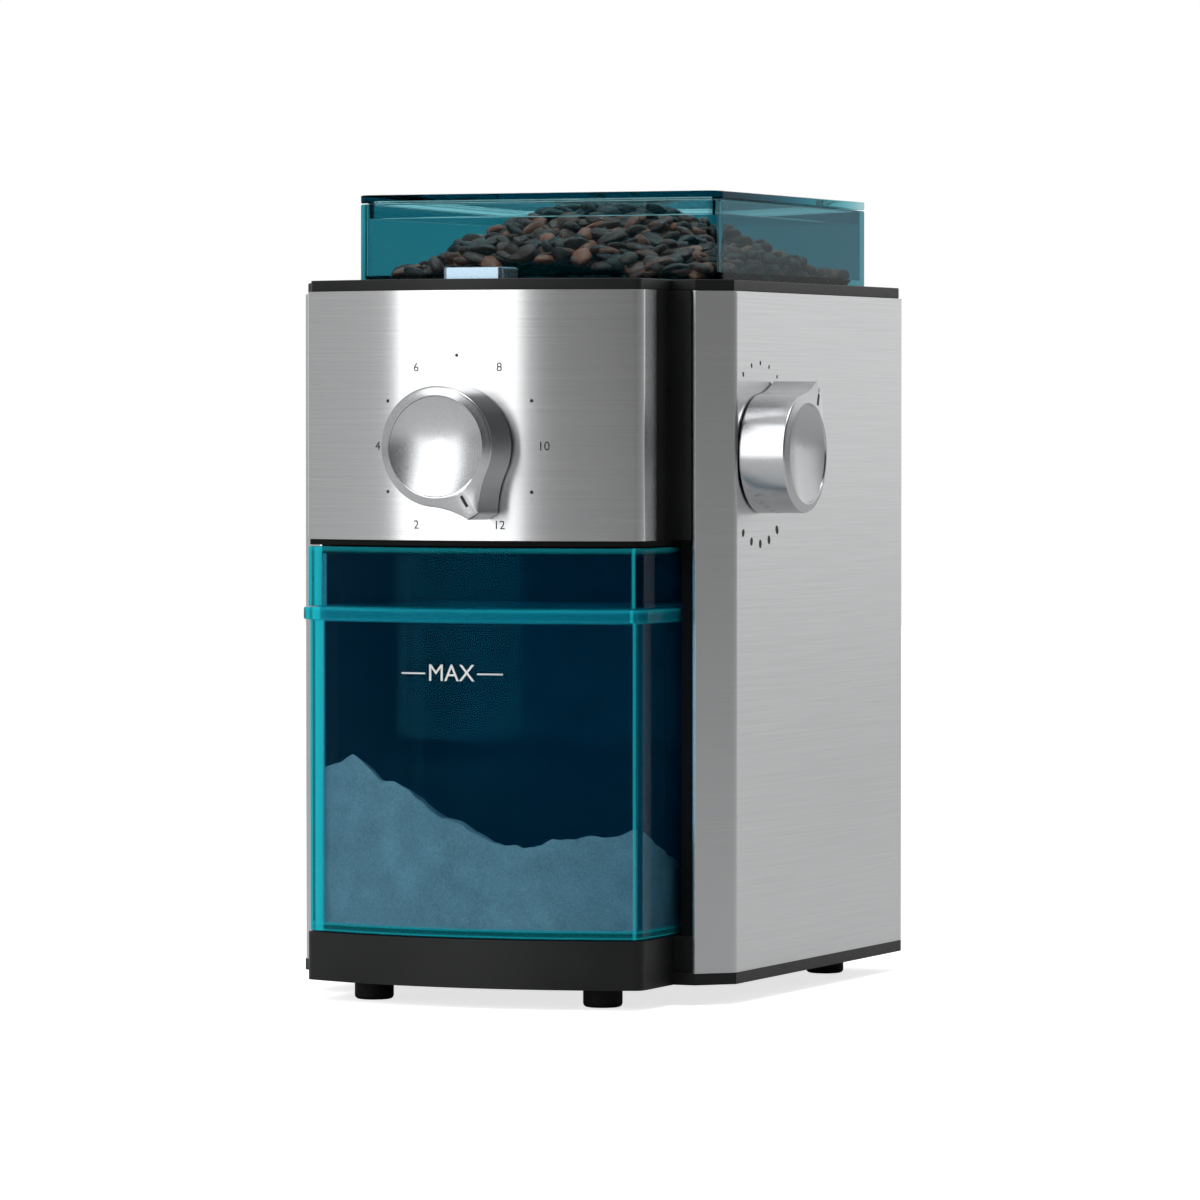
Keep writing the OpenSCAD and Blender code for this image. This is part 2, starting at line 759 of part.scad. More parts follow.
// linear lift over the used turn, then back down
function cam_point(a, u) =
    [for (r = [cam_r + grind_lift * u / 243]) each [r * cos(a + 90), r * sin(a + 90)]];

module grind_cam() {
    color("#e0c060") translate([cam_x - 4, knob_y, z_grind]) rotate([90, 0, 90]) difference() {
        linear_extrude(height = 8) polygon([for (a = [0:5:355]) cam_point(a, a > 215 ? a - 360 : a)]);
        translate([0, 0, -1]) cylinder(r = kshaft_r + seat, h = 10);
    }
}

// ---------- start button ----------
module start_button() {
    color("#d4dde2") union() {
        slab(z_deck - 3, z_seat + 3.9) round_plan(-10.3, 10.3, lock_y, lock_y + 14, 1.6);
        translate([0, lock_y + 7, z_deck - 9.8]) cylinder(r = 1.9, h = 8);
    }
}

coil_n = 60;
coil_r = 4.6;
coil_wire = 0.45;
function coil_at(i, j) =
    [(coil_r + coil_wire * cos(45 * j)) * cos(24 * i), (coil_r + coil_wire * cos(45 * j)) * sin(24 * i),
     7.8 * i / coil_n + coil_wire * sin(45 * j)];

module button_spring() {
    color("#c9ccd0") translate([0, lock_y + 7, z_deck - 11.4]) polyhedron(
        points = [for (i = [0:coil_n]) for (j = [0:7]) coil_at(i, j)],
        faces = concat([[for (j = [0:7]) j]], [[for (j = [7:-1:0]) coil_n * 8 + j]],
                       [for (i = [0:coil_n - 1]) for (j = [0:7])
                           [i * 8 + j, (i + 1) * 8 + j, (i + 1) * 8 + (j + 1) % 8, i * 8 + (j + 1) % 8]]));
}

// ---------- containers ----------
module grounds_container() {
    zb = z_bay + gap;
    color("#1f6f78") difference() {
        union() {
            slab(zb, z_ledge) front_plan(block_half - 0.6, 0.6, bay_y - 3);
            slab(z_ledge, z_ledge + 4) front_plan(block_half + ledge, -ledge, bay_y - 2);
        }
        slab(zb + clear_wall, z_ledge + 5)
            front_plan(block_half - 0.6 - clear_wall, 0.6 + clear_wall, bay_y - 3 - clear_wall);
    }
}

module container_lid() {
    zl = z_ledge + 4 + gap;
    zt = z_block - 2.3;
    color("#1f6f78") difference() {
        union() {
            slab(zl, zt) front_plan(block_half, 0, bay_y - 2.4);
            slab(zl - 4, zl + 1) front_plan(block_half - 1.2 - clear_wall, 1.2 + clear_wall,
                                            bay_y - 3.6 - clear_wall);
        }
        slab(zl - 5, zt - clear_wall)
            front_plan(block_half - 1 - 2 * clear_wall, 1 + 2 * clear_wall, bay_y - 3.4 - 2 * clear_wall);
        block(-13, 13, chute_y - 14, chute_y + 14, zl, zt + 1);
    }
}

module hopper() {
    zh = z_seat + gap;
    color("#2a8f98") difference() {
        union() {
            slab(zh, z_lid) round_plan(-hop_x, hop_x, hop_y0, hop_y1, 5);
            translate([0, axis_y, zh - 30]) cylinder(r1 = 22, r2 = 52, h = 30);
            translate([0, axis_y, z_burr + 33]) cylinder(r = 22, h = zh - 30 - z_burr - 33 + 0.01);
        }
        slab(zh + clear_wall, z_lid + 1)
            round_plan(-hop_x + clear_wall, hop_x - clear_wall, hop_y0 + clear_wall, hop_y1 - clear_wall, 3);
        translate([0, axis_y, zh - 30]) cylinder(r1 = 22 - clear_wall, r2 = 52 - clear_wall, h = 30 + 0.01);
        translate([0, axis_y, zh - 1]) cylinder(r = 52 - clear_wall, h = 6);
        translate([0, axis_y, z_burr + 32]) cylinder(r = 22 - clear_wall, h = 40);
    }
}

module hopper_lid() {
    zl = z_lid + gap;
    inner = clear_wall + 0.5;
    color("#2a8f98") difference() {
        union() {
            slab(zl, height) round_plan(-hop_x, hop_x, hop_y0, hop_y1, 5);
            slab(zl - 5, zl + 1) round_plan(-hop_x + inner, hop_x - inner, hop_y0 + inner, hop_y1 - inner, 2.5);
        }
        slab(zl - 6, height - 1.8)
            round_plan(-hop_x + inner + 1.6, hop_x - inner - 1.6, hop_y0 + inner + 1.6, hop_y1 - inner - 1.6, 1.5);
    }
}

place() base();
place() rubber_feet();
place() base_screws();
place() steel_sleeve();
place() core_frame();
place() front_carrier();
place() front_panel();
place() top_deck();
place() deck_screws();
place() support_posts();
place() motor_plate();
place() motor_dampers();
place() lower_damper();
place() stator();
place() field_coils();
place() lower_bracket();
place() upper_bracket();
place() bearings();
place() motor_bolts();
place() brush_holders();
place() carbon_brushes();
place() grind_chamber();
place() chamber_screws();
place() chamber_seal();
place() grounds_chute();
place() timer_unit();
place() timer_nut();
place() control_board();
place() board_parts();
place() button_guide();
place() start_switch();
place() hopper_switch();
place() container_switch();
place() grind_bush();
place() cord_gland();
place() motor_shaft();
place() armature_core();
place() armature_windings();
place() commutator();
place() cooling_fan();
place() sweeper();
place() lower_burr();
place() burr_nut();
place() upper_burr();
place() burr_screws();
place() burr_carrier();
place() dial_knob();
place() dial_shaft();
place() dial_index();
place() grind_knob();
place() grind_shaft();
place() grind_cam();
place() grind_index();
place() start_button();
place() button_spring();
place() grounds_container();
place() container_lid();
place() hopper();
place() hopper_lid();
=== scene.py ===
import json
import math
import random

import bmesh
import bpy
from mathutils import Matrix, Vector, noise


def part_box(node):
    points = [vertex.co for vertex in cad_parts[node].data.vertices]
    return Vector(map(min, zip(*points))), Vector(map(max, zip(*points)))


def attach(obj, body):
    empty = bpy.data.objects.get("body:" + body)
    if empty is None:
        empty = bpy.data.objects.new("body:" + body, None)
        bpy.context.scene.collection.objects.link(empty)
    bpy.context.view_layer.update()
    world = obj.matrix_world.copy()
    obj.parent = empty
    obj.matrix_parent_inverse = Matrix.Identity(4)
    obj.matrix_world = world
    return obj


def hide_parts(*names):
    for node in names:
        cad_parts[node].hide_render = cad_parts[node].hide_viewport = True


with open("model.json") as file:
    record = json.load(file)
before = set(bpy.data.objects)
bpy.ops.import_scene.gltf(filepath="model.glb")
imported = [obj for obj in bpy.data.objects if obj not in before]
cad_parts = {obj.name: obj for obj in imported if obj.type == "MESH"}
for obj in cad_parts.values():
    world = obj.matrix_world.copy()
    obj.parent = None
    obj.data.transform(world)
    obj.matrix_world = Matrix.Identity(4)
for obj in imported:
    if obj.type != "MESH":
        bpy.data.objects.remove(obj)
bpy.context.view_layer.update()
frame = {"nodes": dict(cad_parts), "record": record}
print("frame loaded with", len(frame["nodes"]), "nodes")

mm = 0.001
baseLow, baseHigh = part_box("base")
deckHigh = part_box("top_deck")[1]
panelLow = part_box("front_panel")[0]
sleeveLow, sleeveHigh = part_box("steel_sleeve")
hopperLow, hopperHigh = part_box("hopper")
binLow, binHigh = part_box("grounds_container")
midX = (baseLow.x + baseHigh.x) / 2  # the plane that halves the body
bodyY = (baseLow.y + baseHigh.y) / 2

view = {"azimuth": 23.02, "elevation": 1.49, "distance": 2.2496, "lens": 205.0,
        "aimX": 7.14 * mm, "aimY": -2.0 * mm, "aimZ": 127.13 * mm}


def placeCamera():
    turn, rise = math.radians(view["azimuth"]), math.radians(view["elevation"])
    away = Vector((math.sin(turn) * math.cos(rise), -math.cos(turn) * math.cos(rise), math.sin(rise)))
    aim = Vector((midX + view["aimX"], bodyY + view["aimY"], view["aimZ"]))
    data = bpy.data.cameras.new("camera")
    data.lens = view["lens"]
    data.sensor_width = 36
    data.clip_end = 50
    camera = bpy.data.objects.new("camera", data)
    bpy.context.collection.objects.link(camera)
    camera.location = aim + away * view["distance"]
    camera.rotation_euler = away.to_track_quat("Z", "Y").to_euler()
    bpy.context.scene.camera = camera


placeCamera()

# azimuth is counted from the front towards the side knob
lamps = {
    "frontBox": {"azimuth": -23, "height": 0.98, "distance": 1.6, "size": (0.98, 2.2), "power": 13.5,
                 "level": True},
    "topBox": {"azimuth": 30, "height": 1.7, "distance": 0.4, "size": (0.9, 0.9), "power": 15,
               "level": False},
}
floorLook = {"radius": 4.0, "lift": 0.75}


def placeLamps():
    middle = Vector((midX, bodyY, 0.13))
    for name, lamp in lamps.items():
        data = bpy.data.lights.new(name, "AREA")
        data.shape = "RECTANGLE"
        data.size, data.size_y = lamp["size"]
        data.energy = lamp["power"]
        turn = math.radians(lamp["azimuth"])
        place = middle + Vector((math.sin(turn) * lamp["distance"], -math.cos(turn) * lamp["distance"],
                                 lamp["height"]))
        light = bpy.data.objects.new(name, data)
        bpy.context.collection.objects.link(light)
        light.location = place
        facing = place - middle
        if lamp["level"]:
            facing.z = 0
        light.rotation_euler = facing.to_track_quat("Z", "Y").to_euler()


placeLamps()


def rgb(code):
    # sRGB hex to linear
    parts = [int(code[i:i + 2], 16) / 255 for i in (0, 2, 4)]
    return tuple(c / 12.92 if c <= 0.04045 else ((c + 0.055) / 1.055) ** 2.4 for c in parts) + (1.0,)


def addNode(tree, kind, values=None, links=None):
    # one node, its settings by attribute or socket name, its links by socket name
    node = tree.nodes.new(kind)
    for key, value in (values or {}).items():
        if key == "stops":
            # a ramp's places and linear colours, set in their order once all are there
            elements = node.color_ramp.elements
            while len(elements) < len(value):
                elements.new(0.5)
            for element, (place, colour) in zip(elements, value):
                element.position = place
                element.color = colour
        elif isinstance(key, str) and hasattr(node, key):
            setattr(node, key, value)
        else:
            node.inputs[key].default_value = value
    for key, source in (links or {}).items():
        tree.links.new(source, node.inputs[key])
    return node


def paintWorld():
    # a studio that is bright behind, pale at the left, dim at the right, and dark at the right front
    world = bpy.data.worlds.new("studio")
    bpy.context.scene.world = world
    world.use_nodes = True
    tree = world.node_tree
    tree.nodes.clear()
    where = addNode(tree, "ShaderNodeTexCoord")
    parts = addNode(tree, "ShaderNodeSeparateXYZ", links={0: where.outputs["Generated"]})
    angle = addNode(tree, "ShaderNodeMath", {"operation": "ARCTAN2"},
                    {0: parts.outputs["X"], 1: parts.outputs["Y"]})
    turn = addNode(tree, "ShaderNodeMapRange", {"From Min": -math.pi, "From Max": math.pi},
                   {"Value": angle.outputs[0]})
    # position 0 and 1 look to the front, 0.25 to the left, 0.5 to the back, 0.75 to the right
    steps = [(0.0, 0.14), (0.03, 0.58), (0.10, 0.60), (0.20, 0.55), (0.30, 0.55), (0.44, 0.95), (0.61, 0.95),
             (0.65, 0.40), (0.74, 0.20), (0.79, 0.13), (0.835, 0.10), (0.85, 0.02), (0.94, 0.02), (0.96, 0.09),
             (1.0, 0.14)]
    ramp = addNode(tree, "ShaderNodeValToRGB",
                   {"stops": [(place, (level, level, level, 1)) for place, level in steps]},
                   {0: turn.outputs[0]})
    glow = addNode(tree, "ShaderNodeBackground", {"Strength": 1.0}, {"Color": ramp.outputs["Color"]})
    plain = addNode(tree, "ShaderNodeBackground", {"Color": (1, 1, 1, 1), "Strength": 1.0})
    path = addNode(tree, "ShaderNodeLightPath")
    mixed = addNode(tree, "ShaderNodeMixShader", links={0: path.outputs["Is Camera Ray"],
                                                        1: glow.outputs[0], 2: plain.outputs[0]})
    addNode(tree, "ShaderNodeOutputWorld", links={"Surface": mixed.outputs[0]})


paintWorld()
bpy.context.scene.view_settings.view_transform = "Standard"
print("camera, lamps and studio ready")


def newMaterial(name, values):
    # a material with one principled shader, returned with its tree
    material = bpy.data.materials.new(name)
    material.use_nodes = True
    tree = material.node_tree
    tree.nodes.clear()
    shader = addNode(tree, "ShaderNodeBsdfPrincipled", values)
    addNode(tree, "ShaderNodeOutputMaterial", links={"Surface": shader.outputs[0]})
    return material, tree, shader


def stopsOf(dark, light):
    # two tones of one finish, over the middle of a noise
    return [(0.3, rgb(dark)), (0.7, rgb(light))]


def rangeOf(low, high):
    return {"From Min": 0.3, "From Max": 0.7, "To Min": low, "To Max": high}


def brushedStainless():
    # belt brushed sheet: fine level lines that smear reflections up and down, drawn 0.3 mm tall to show
    material, tree, shader = newMaterial("brushed stainless steel", {"Metallic": 1.0, "Anisotropic": 0.85,
                                                                     "Anisotropic Rotation": 0.25})
    where = addNode(tree, "ShaderNodeTexCoord")
    level = addNode(tree, "ShaderNodeMapping", {"Scale": (0.006, 0.006, 1)},
                    {"Vector": where.outputs["Object"]})
    lines = addNode(tree, "ShaderNodeTexNoise", {"Scale": 1 / (0.3 * mm), "Detail": 2.0},
                    {"Vector": level.outputs[0]})
    cloudy = addNode(tree, "ShaderNodeTexNoise", {"Scale": 1 / (70 * mm), "Detail": 1.0},
                     {"Vector": where.outputs["Object"]})
    tones = addNode(tree, "ShaderNodeValToRGB", {"stops": stopsOf("cacbcc", "d3d4d5")}, {0: lines.outputs[0]})
    cloudShare = addNode(tree, "ShaderNodeMath", {"operation": "MULTIPLY", 1: 0.4}, {0: cloudy.outputs[0]})
    mixed = addNode(tree, "ShaderNodeMath", {"operation": "MULTIPLY_ADD", 1: 0.6},
                    {0: lines.outputs[0], 2: cloudShare.outputs[0]})
    rough = addNode(tree, "ShaderNodeMapRange", rangeOf(0.23, 0.25), {"Value": mixed.outputs[0]})
    around = addNode(tree, "ShaderNodeTangent", {"direction_type": "RADIAL", "axis": "Z"})
    relief = addNode(tree, "ShaderNodeBump", {"Strength": 0.05, "Distance": 0.01 * mm},
                     {"Height": lines.outputs[0]})
    tree.links.new(tones.outputs["Color"], shader.inputs["Base Color"])
    tree.links.new(rough.outputs[0], shader.inputs["Roughness"])
    tree.links.new(around.outputs[0], shader.inputs["Tangent"])
    tree.links.new(relief.outputs[0], shader.inputs["Normal"])
    return material


def mouldedFinish(name, dark, light, rough=(0.36, 0.5), size=0.5 * mm, strength=0.25, shine=0.22):
    # spark textured moulding: dull, with a fine pebble and a slow drift of tone
    material, tree, shader = newMaterial(name, {"IOR": 1.53, "Specular IOR Level": shine})
    where = addNode(tree, "ShaderNodeTexCoord")
    pebble = addNode(tree, "ShaderNodeTexNoise", {"Scale": 1 / size, "Detail": 3.0},
                     {"Vector": where.outputs["Object"]})
    drift = addNode(tree, "ShaderNodeTexNoise", {"Scale": 1 / (25 * mm), "Detail": 1.0},
                    {"Vector": where.outputs["Object"]})
    tones = addNode(tree, "ShaderNodeValToRGB", {"stops": stopsOf(dark, light)}, {0: drift.outputs[0]})
    dull = addNode(tree, "ShaderNodeMapRange", rangeOf(*rough), {"Value": pebble.outputs[0]})
    relief = addNode(tree, "ShaderNodeBump", {"Strength": strength, "Distance": 0.05 * mm},
                     {"Height": pebble.outputs[0]})
    tree.links.new(tones.outputs["Color"], shader.inputs["Base Color"])
    tree.links.new(dull.outputs[0], shader.inputs["Roughness"])
    tree.links.new(relief.outputs[0], shader.inputs["Normal"])
    return material


def metalFinish(name, dark, light, rough, size=1.0 * mm, stretch=(1, 1, 1), strength=0.15):
    # turned, cast or plated metal with its own grain
    material, tree, shader = newMaterial(name, {"Metallic": 1.0})
    where = addNode(tree, "ShaderNodeTexCoord")
    drawn = addNode(tree, "ShaderNodeMapping", {"Scale": stretch}, {"Vector": where.outputs["Object"]})
    marks = addNode(tree, "ShaderNodeTexNoise", {"Scale": 1 / size, "Detail": 3.0},
                    {"Vector": drawn.outputs[0]})
    tones = addNode(tree, "ShaderNodeValToRGB", {"stops": stopsOf(dark, light)}, {0: marks.outputs[0]})
    dull = addNode(tree, "ShaderNodeMapRange", rangeOf(*rough), {"Value": marks.outputs[0]})
    relief = addNode(tree, "ShaderNodeBump", {"Strength": strength, "Distance": 0.03 * mm},
                     {"Height": marks.outputs[0]})
    tree.links.new(tones.outputs["Color"], shader.inputs["Base Color"])
    tree.links.new(dull.outputs[0], shader.inputs["Roughness"])
    tree.links.new(relief.outputs[0], shader.inputs["Normal"])
    return material


def satinLacquer(name, base, light, rough):
    # metal flake lacquer over plastic: bright, soft sheen, sparkle too small to see one by one
    material, tree, shader = newMaterial(name, {"Metallic": 0.92, "Coat Weight": 0.12, "Coat Roughness": 0.25})
    where = addNode(tree, "ShaderNodeTexCoord")
    flake = addNode(tree, "ShaderNodeTexNoise", {"Scale": 1 / (0.35 * mm), "Detail": 2.0},
                    {"Vector": where.outputs["Object"]})
    tones = addNode(tree, "ShaderNodeValToRGB", {"stops": stopsOf(base, light)}, {0: flake.outputs[0]})
    dull = addNode(tree, "ShaderNodeMapRange", rangeOf(*rough), {"Value": flake.outputs[0]})
    relief = addNode(tree, "ShaderNodeBump", {"Strength": 0.08, "Distance": 0.01 * mm},
                     {"Height": flake.outputs[0]})
    tree.links.new(tones.outputs["Color"], shader.inputs["Base Color"])
    tree.links.new(dull.outputs[0], shader.inputs["Roughness"])
    tree.links.new(relief.outputs[0], shader.inputs["Normal"])
    return material


# each painted glow is a list of (place, share) along one axis of a clear moulding, the share of a bright tint
# painted in where the moulding would gather light
binPaintedGlow = [("X", [(binLow.x, 0.0), (binLow.x + 1.9 * mm, 0.1), (binLow.x + 2.4 * mm, 0.8),
                  (binLow.x + 4.0 * mm, 0.75), (binLow.x + 4.3 * mm, 0.25),
                  (binLow.x + 5.0 * mm, 0.3), (binLow.x + 5.4 * mm, 0.85),
                  (binLow.x + 8.2 * mm, 0.7), (binLow.x + 9.0 * mm, 0.0), (binHigh.x - 4.6 * mm, 0.0),
                  (binHigh.x - 4.3 * mm, 0.6), (binHigh.x - 3.6 * mm, 0.6), (binHigh.x - 3.3 * mm, 0.0),
                  (binHigh.x, 0.0)]),
           ("Z", [(binLow.z, 0.0), (binLow.z + 0.5 * mm, 0.6), (binLow.z + 1.1 * mm, 0.12),
                  (binLow.z + 2.0 * mm, 0.15), (binLow.z + 2.5 * mm, 0.5),
                  (binLow.z + 3.1 * mm, 0.0), (binHigh.z - 4.3 * mm, 0.0),
                  (binHigh.z - 3.9 * mm, 0.4), (binHigh.z - 3.2 * mm, 0.16), (binHigh.z - 1.2 * mm, 0.16),
                  (binHigh.z - 0.6 * mm, 0.4), (binHigh.z + 0.3 * mm, 0.3), (binHigh.z + 0.8 * mm, 0.0),
                  (binHigh.z + 17.6 * mm, 0.0), (binHigh.z + 18.4 * mm, 0.28), (binHigh.z + 19.6 * mm, 0.28)])]
# the hopper's left front corner carries the same painted glow
hopperPaintedGlow = [("X", [(hopperLow.x, 0.7), (hopperLow.x + 3.0 * mm, 0.55), (hopperLow.x + 3.6 * mm, 0.0),
                     (hopperHigh.x, 0.0)])]
clearLooks = {
    "smoke_clear": {"ior": 1.22, "skin": ("b4d0de", "bcd8e4"), "absorbed": (0.0, 0.60, 0.74, 1), "density": 120,
                    "shade": "eef6fa", "haze": "005a89", "hazeShare": 0.05, "glow": binPaintedGlow,
                    "paintedGlowColour": "24c4d2", "corner": binLow.y + 14 * mm, "deepWalls": None},
    "hopper_clear": {"ior": 1.12, "skin": ("e2eff1", "e8f3f5"), "absorbed": (0.0, 0.62, 0.68, 1), "density": 45,
                     "shade": "fafcfc", "haze": "0a7080", "hazeShare": 0.006, "glow": hopperPaintedGlow,
                     "paintedGlowColour": "3fb4c4", "corner": hopperLow.y + 2 * mm, "deepSkin": "2c7b89",
                     "deepWalls": {"left": hopperLow.x + 3 * mm, "rear": hopperHigh.y - 3 * mm,
                                   "right": hopperHigh.x - 3 * mm, "rightShare": 0.55}},
    "hopper_cap": {"ior": 1.12, "skin": ("cfeaee", "d6eef1"), "absorbed": (0.0, 0.62, 0.68, 1), "density": 60,
                   "shade": "fafcfc", "haze": "0a7080", "hazeShare": 0.006, "glow": (),
                   "deepWalls": None},
}


def clearSan(name, look):
    # tinted styrene acrylonitrile: the tint grows with the thickness, lamps shine on through it onto what it
    # holds, and the front corners, ledge and floor of the moulding carry a painted glow that stands in for the
    # light they gather
    material, tree, shader = newMaterial(name, {"IOR": look["ior"], "Transmission Weight": 1.0,
                                                "Specular IOR Level": 0.1, "Specular Tint": rgb("2fa9bd")})
    where = addNode(tree, "ShaderNodeTexCoord")
    place = addNode(tree, "ShaderNodeSeparateXYZ", links={0: where.outputs["Object"]})
    ripple = addNode(tree, "ShaderNodeTexNoise", {"Scale": 1 / (30 * mm), "Detail": 1.0},
                     {"Vector": where.outputs["Object"]})
    skin = addNode(tree, "ShaderNodeValToRGB", {"stops": stopsOf(*look["skin"])},
                   {0: ripple.outputs[0]}).outputs["Color"]
    walls = look["deepWalls"]
    if walls:
        # the back and left walls have a deeper tint, and the right wall about half of it
        left = addNode(tree, "ShaderNodeMapRange",
                       {"From Min": walls["left"] + 1 * mm, "From Max": walls["left"]},
                       {"Value": place.outputs["X"]})
        rear = addNode(tree, "ShaderNodeMapRange",
                       {"From Min": walls["rear"] - 1 * mm, "From Max": walls["rear"]},
                       {"Value": place.outputs["Y"]})
        right = addNode(tree, "ShaderNodeMapRange",
                        {"From Min": walls["right"] - 1 * mm, "From Max": walls["right"],
                         "To Max": walls["rightShare"]},
                        {"Value": place.outputs["X"]})
        sides = addNode(tree, "ShaderNodeMath", {"operation": "MAXIMUM"},
                        {0: left.outputs[0], 1: right.outputs[0]})
        deep = addNode(tree, "ShaderNodeMath", {"operation": "MAXIMUM"},
                       {0: sides.outputs[0], 1: rear.outputs[0]})
        skin = addNode(tree, "ShaderNodeMix", {"data_type": "RGBA", 7: rgb(look["deepSkin"])},
                       {0: deep.outputs[0], 6: skin}).outputs[2]
    smooth = addNode(tree, "ShaderNodeMapRange", rangeOf(0.0, 0.03), {"Value": ripple.outputs[0]})
    relief = addNode(tree, "ShaderNodeBump", {"Strength": 0.1, "Distance": 0.3 * mm},
                     {"Height": ripple.outputs[0]})
    tree.links.new(skin, shader.inputs["Base Color"])
    tree.links.new(smooth.outputs[0], shader.inputs["Roughness"])
    tree.links.new(relief.outputs[0], shader.inputs["Normal"])
    milky = addNode(tree, "ShaderNodeBsdfDiffuse", {"Color": rgb(look["haze"])},
                    {"Normal": relief.outputs[0]})
    last = addNode(tree, "ShaderNodeMixShader", {0: look["hazeShare"]},
                   {1: shader.outputs[0], 2: milky.outputs[0]})
    # painted glow: a bright diffuse tint mixed in over the masked strips, standing in for light the moulding
    # gathers
    if look["glow"]:
        paintedGlowShader = addNode(tree, "ShaderNodeBsdfDiffuse", {"Color": rgb(look["paintedGlowColour"])})
    for axis, steps in look["glow"]:
        first, final = steps[0][0], steps[-1][0]
        stops = [((at - first) / (final - first), (share, share, share, 1)) for at, share in steps]
        along = addNode(tree, "ShaderNodeMapRange", {"From Min": first, "From Max": final},
                        {"Value": place.outputs[axis]})
        glow = addNode(tree, "ShaderNodeValToRGB", {"stops": stops}, {0: along.outputs[0]}).outputs["Color"]
        if axis == "X":
            # the painted glow is kept to the front corners: the side walls behind them stay clear
            near = addNode(tree, "ShaderNodeMapRange",
                           {"From Min": look["corner"], "From Max": look["corner"] + 7 * mm,
                            "To Min": 1.0, "To Max": 0.06},
                           {"Value": place.outputs["Y"]})
            glow = addNode(tree, "ShaderNodeMath", {"operation": "MULTIPLY"},
                           {0: glow, 1: near.outputs[0]}).outputs[0]
        last = addNode(tree, "ShaderNodeMixShader", links={0: glow, 1: last.outputs[0], 2: paintedGlowShader.outputs[0]})
    through = addNode(tree, "ShaderNodeBsdfTransparent", {"Color": rgb(look["shade"])})
    path = addNode(tree, "ShaderNodeLightPath")
    lit = addNode(tree, "ShaderNodeMixShader", links={0: path.outputs["Is Shadow Ray"], 1: last.outputs[0],
                                                      2: through.outputs[0]})
    body = addNode(tree, "ShaderNodeVolumeAbsorption",
                   {"Color": look["absorbed"], "Density": look["density"]})
    out = tree.nodes["Material Output"]
    tree.links.new(lit.outputs[0], out.inputs["Surface"])
    tree.links.new(body.outputs[0], out.inputs["Volume"])
    return material


def roastedBean():
    # medium dark roast: satin brown, patchy, each bean with its own tone
    material, tree, shader = newMaterial("roasted coffee bean", {"IOR": 1.45, "Coat Weight": 0.03,
                                                                 "Coat Roughness": 0.3,
                                                                 "Specular IOR Level": 0.45})
    where = addNode(tree, "ShaderNodeTexCoord")
    # the attribute holds each bean's own tone, and the darkest tone as painted shade on the solid beneath them
    own = addNode(tree, "ShaderNodeAttribute", {"attribute_name": "roast"})
    skin = addNode(tree, "ShaderNodeTexNoise", {"Scale": 1 / (1.6 * mm), "Detail": 5.0},
                   {"Vector": where.outputs["Object"]})
    both = addNode(tree, "ShaderNodeMath", {"operation": "MULTIPLY_ADD", 1: 0.35},
                   {0: skin.outputs[0], 2: own.outputs["Fac"]})
    browns = [(0.15, rgb("080403")), (0.6, rgb("3a1b12")), (1.0, rgb("7c4430"))]
    tones = addNode(tree, "ShaderNodeValToRGB", {"stops": browns}, {0: both.outputs[0]})
    dull = addNode(tree, "ShaderNodeMapRange", rangeOf(0.35, 0.6), {"Value": skin.outputs[0]})
    relief = addNode(tree, "ShaderNodeBump", {"Strength": 0.8, "Distance": 0.5 * mm},
                     {"Height": skin.outputs[0]})
    tree.links.new(tones.outputs["Color"], shader.inputs["Base Color"])
    tree.links.new(dull.outputs[0], shader.inputs["Roughness"])
    tree.links.new(relief.outputs[0], shader.inputs["Normal"])
    return material


def groundCoffee():
    # fine grind in loose clumps, its grains drawn 0.7 mm across to show
    material, tree, shader = newMaterial("ground coffee", {"IOR": 1.4})
    where = addNode(tree, "ShaderNodeTexCoord")
    grains = addNode(tree, "ShaderNodeTexNoise", {"Scale": 1 / (0.7 * mm), "Detail": 4.0},
                     {"Vector": where.outputs["Object"]})
    clumps = addNode(tree, "ShaderNodeTexNoise", {"Scale": 1 / (9 * mm), "Detail": 2.0},
                     {"Vector": where.outputs["Object"]})
    clumpShare = addNode(tree, "ShaderNodeMath", {"operation": "MULTIPLY", 1: 0.4}, {0: clumps.outputs[0]})
    mixed = addNode(tree, "ShaderNodeMath", {"operation": "MULTIPLY_ADD", 1: 0.6},
                    {0: grains.outputs[0], 2: clumpShare.outputs[0]})
    # painted light: these tones are far paler than brown grounds, standing in for the light the mound shows
    # through the tinted container
    tones = addNode(tree, "ShaderNodeValToRGB", {"stops": stopsOf("b5a8a2", "e2dad6")}, {0: mixed.outputs[0]})
    dull = addNode(tree, "ShaderNodeMapRange", rangeOf(0.75, 0.95), {"Value": grains.outputs[0]})
    relief = addNode(tree, "ShaderNodeBump", {"Strength": 0.8, "Distance": 0.4 * mm},
                     {"Height": grains.outputs[0]})
    tree.links.new(tones.outputs["Color"], shader.inputs["Base Color"])
    tree.links.new(dull.outputs[0], shader.inputs["Roughness"])
    tree.links.new(relief.outputs[0], shader.inputs["Normal"])
    return material


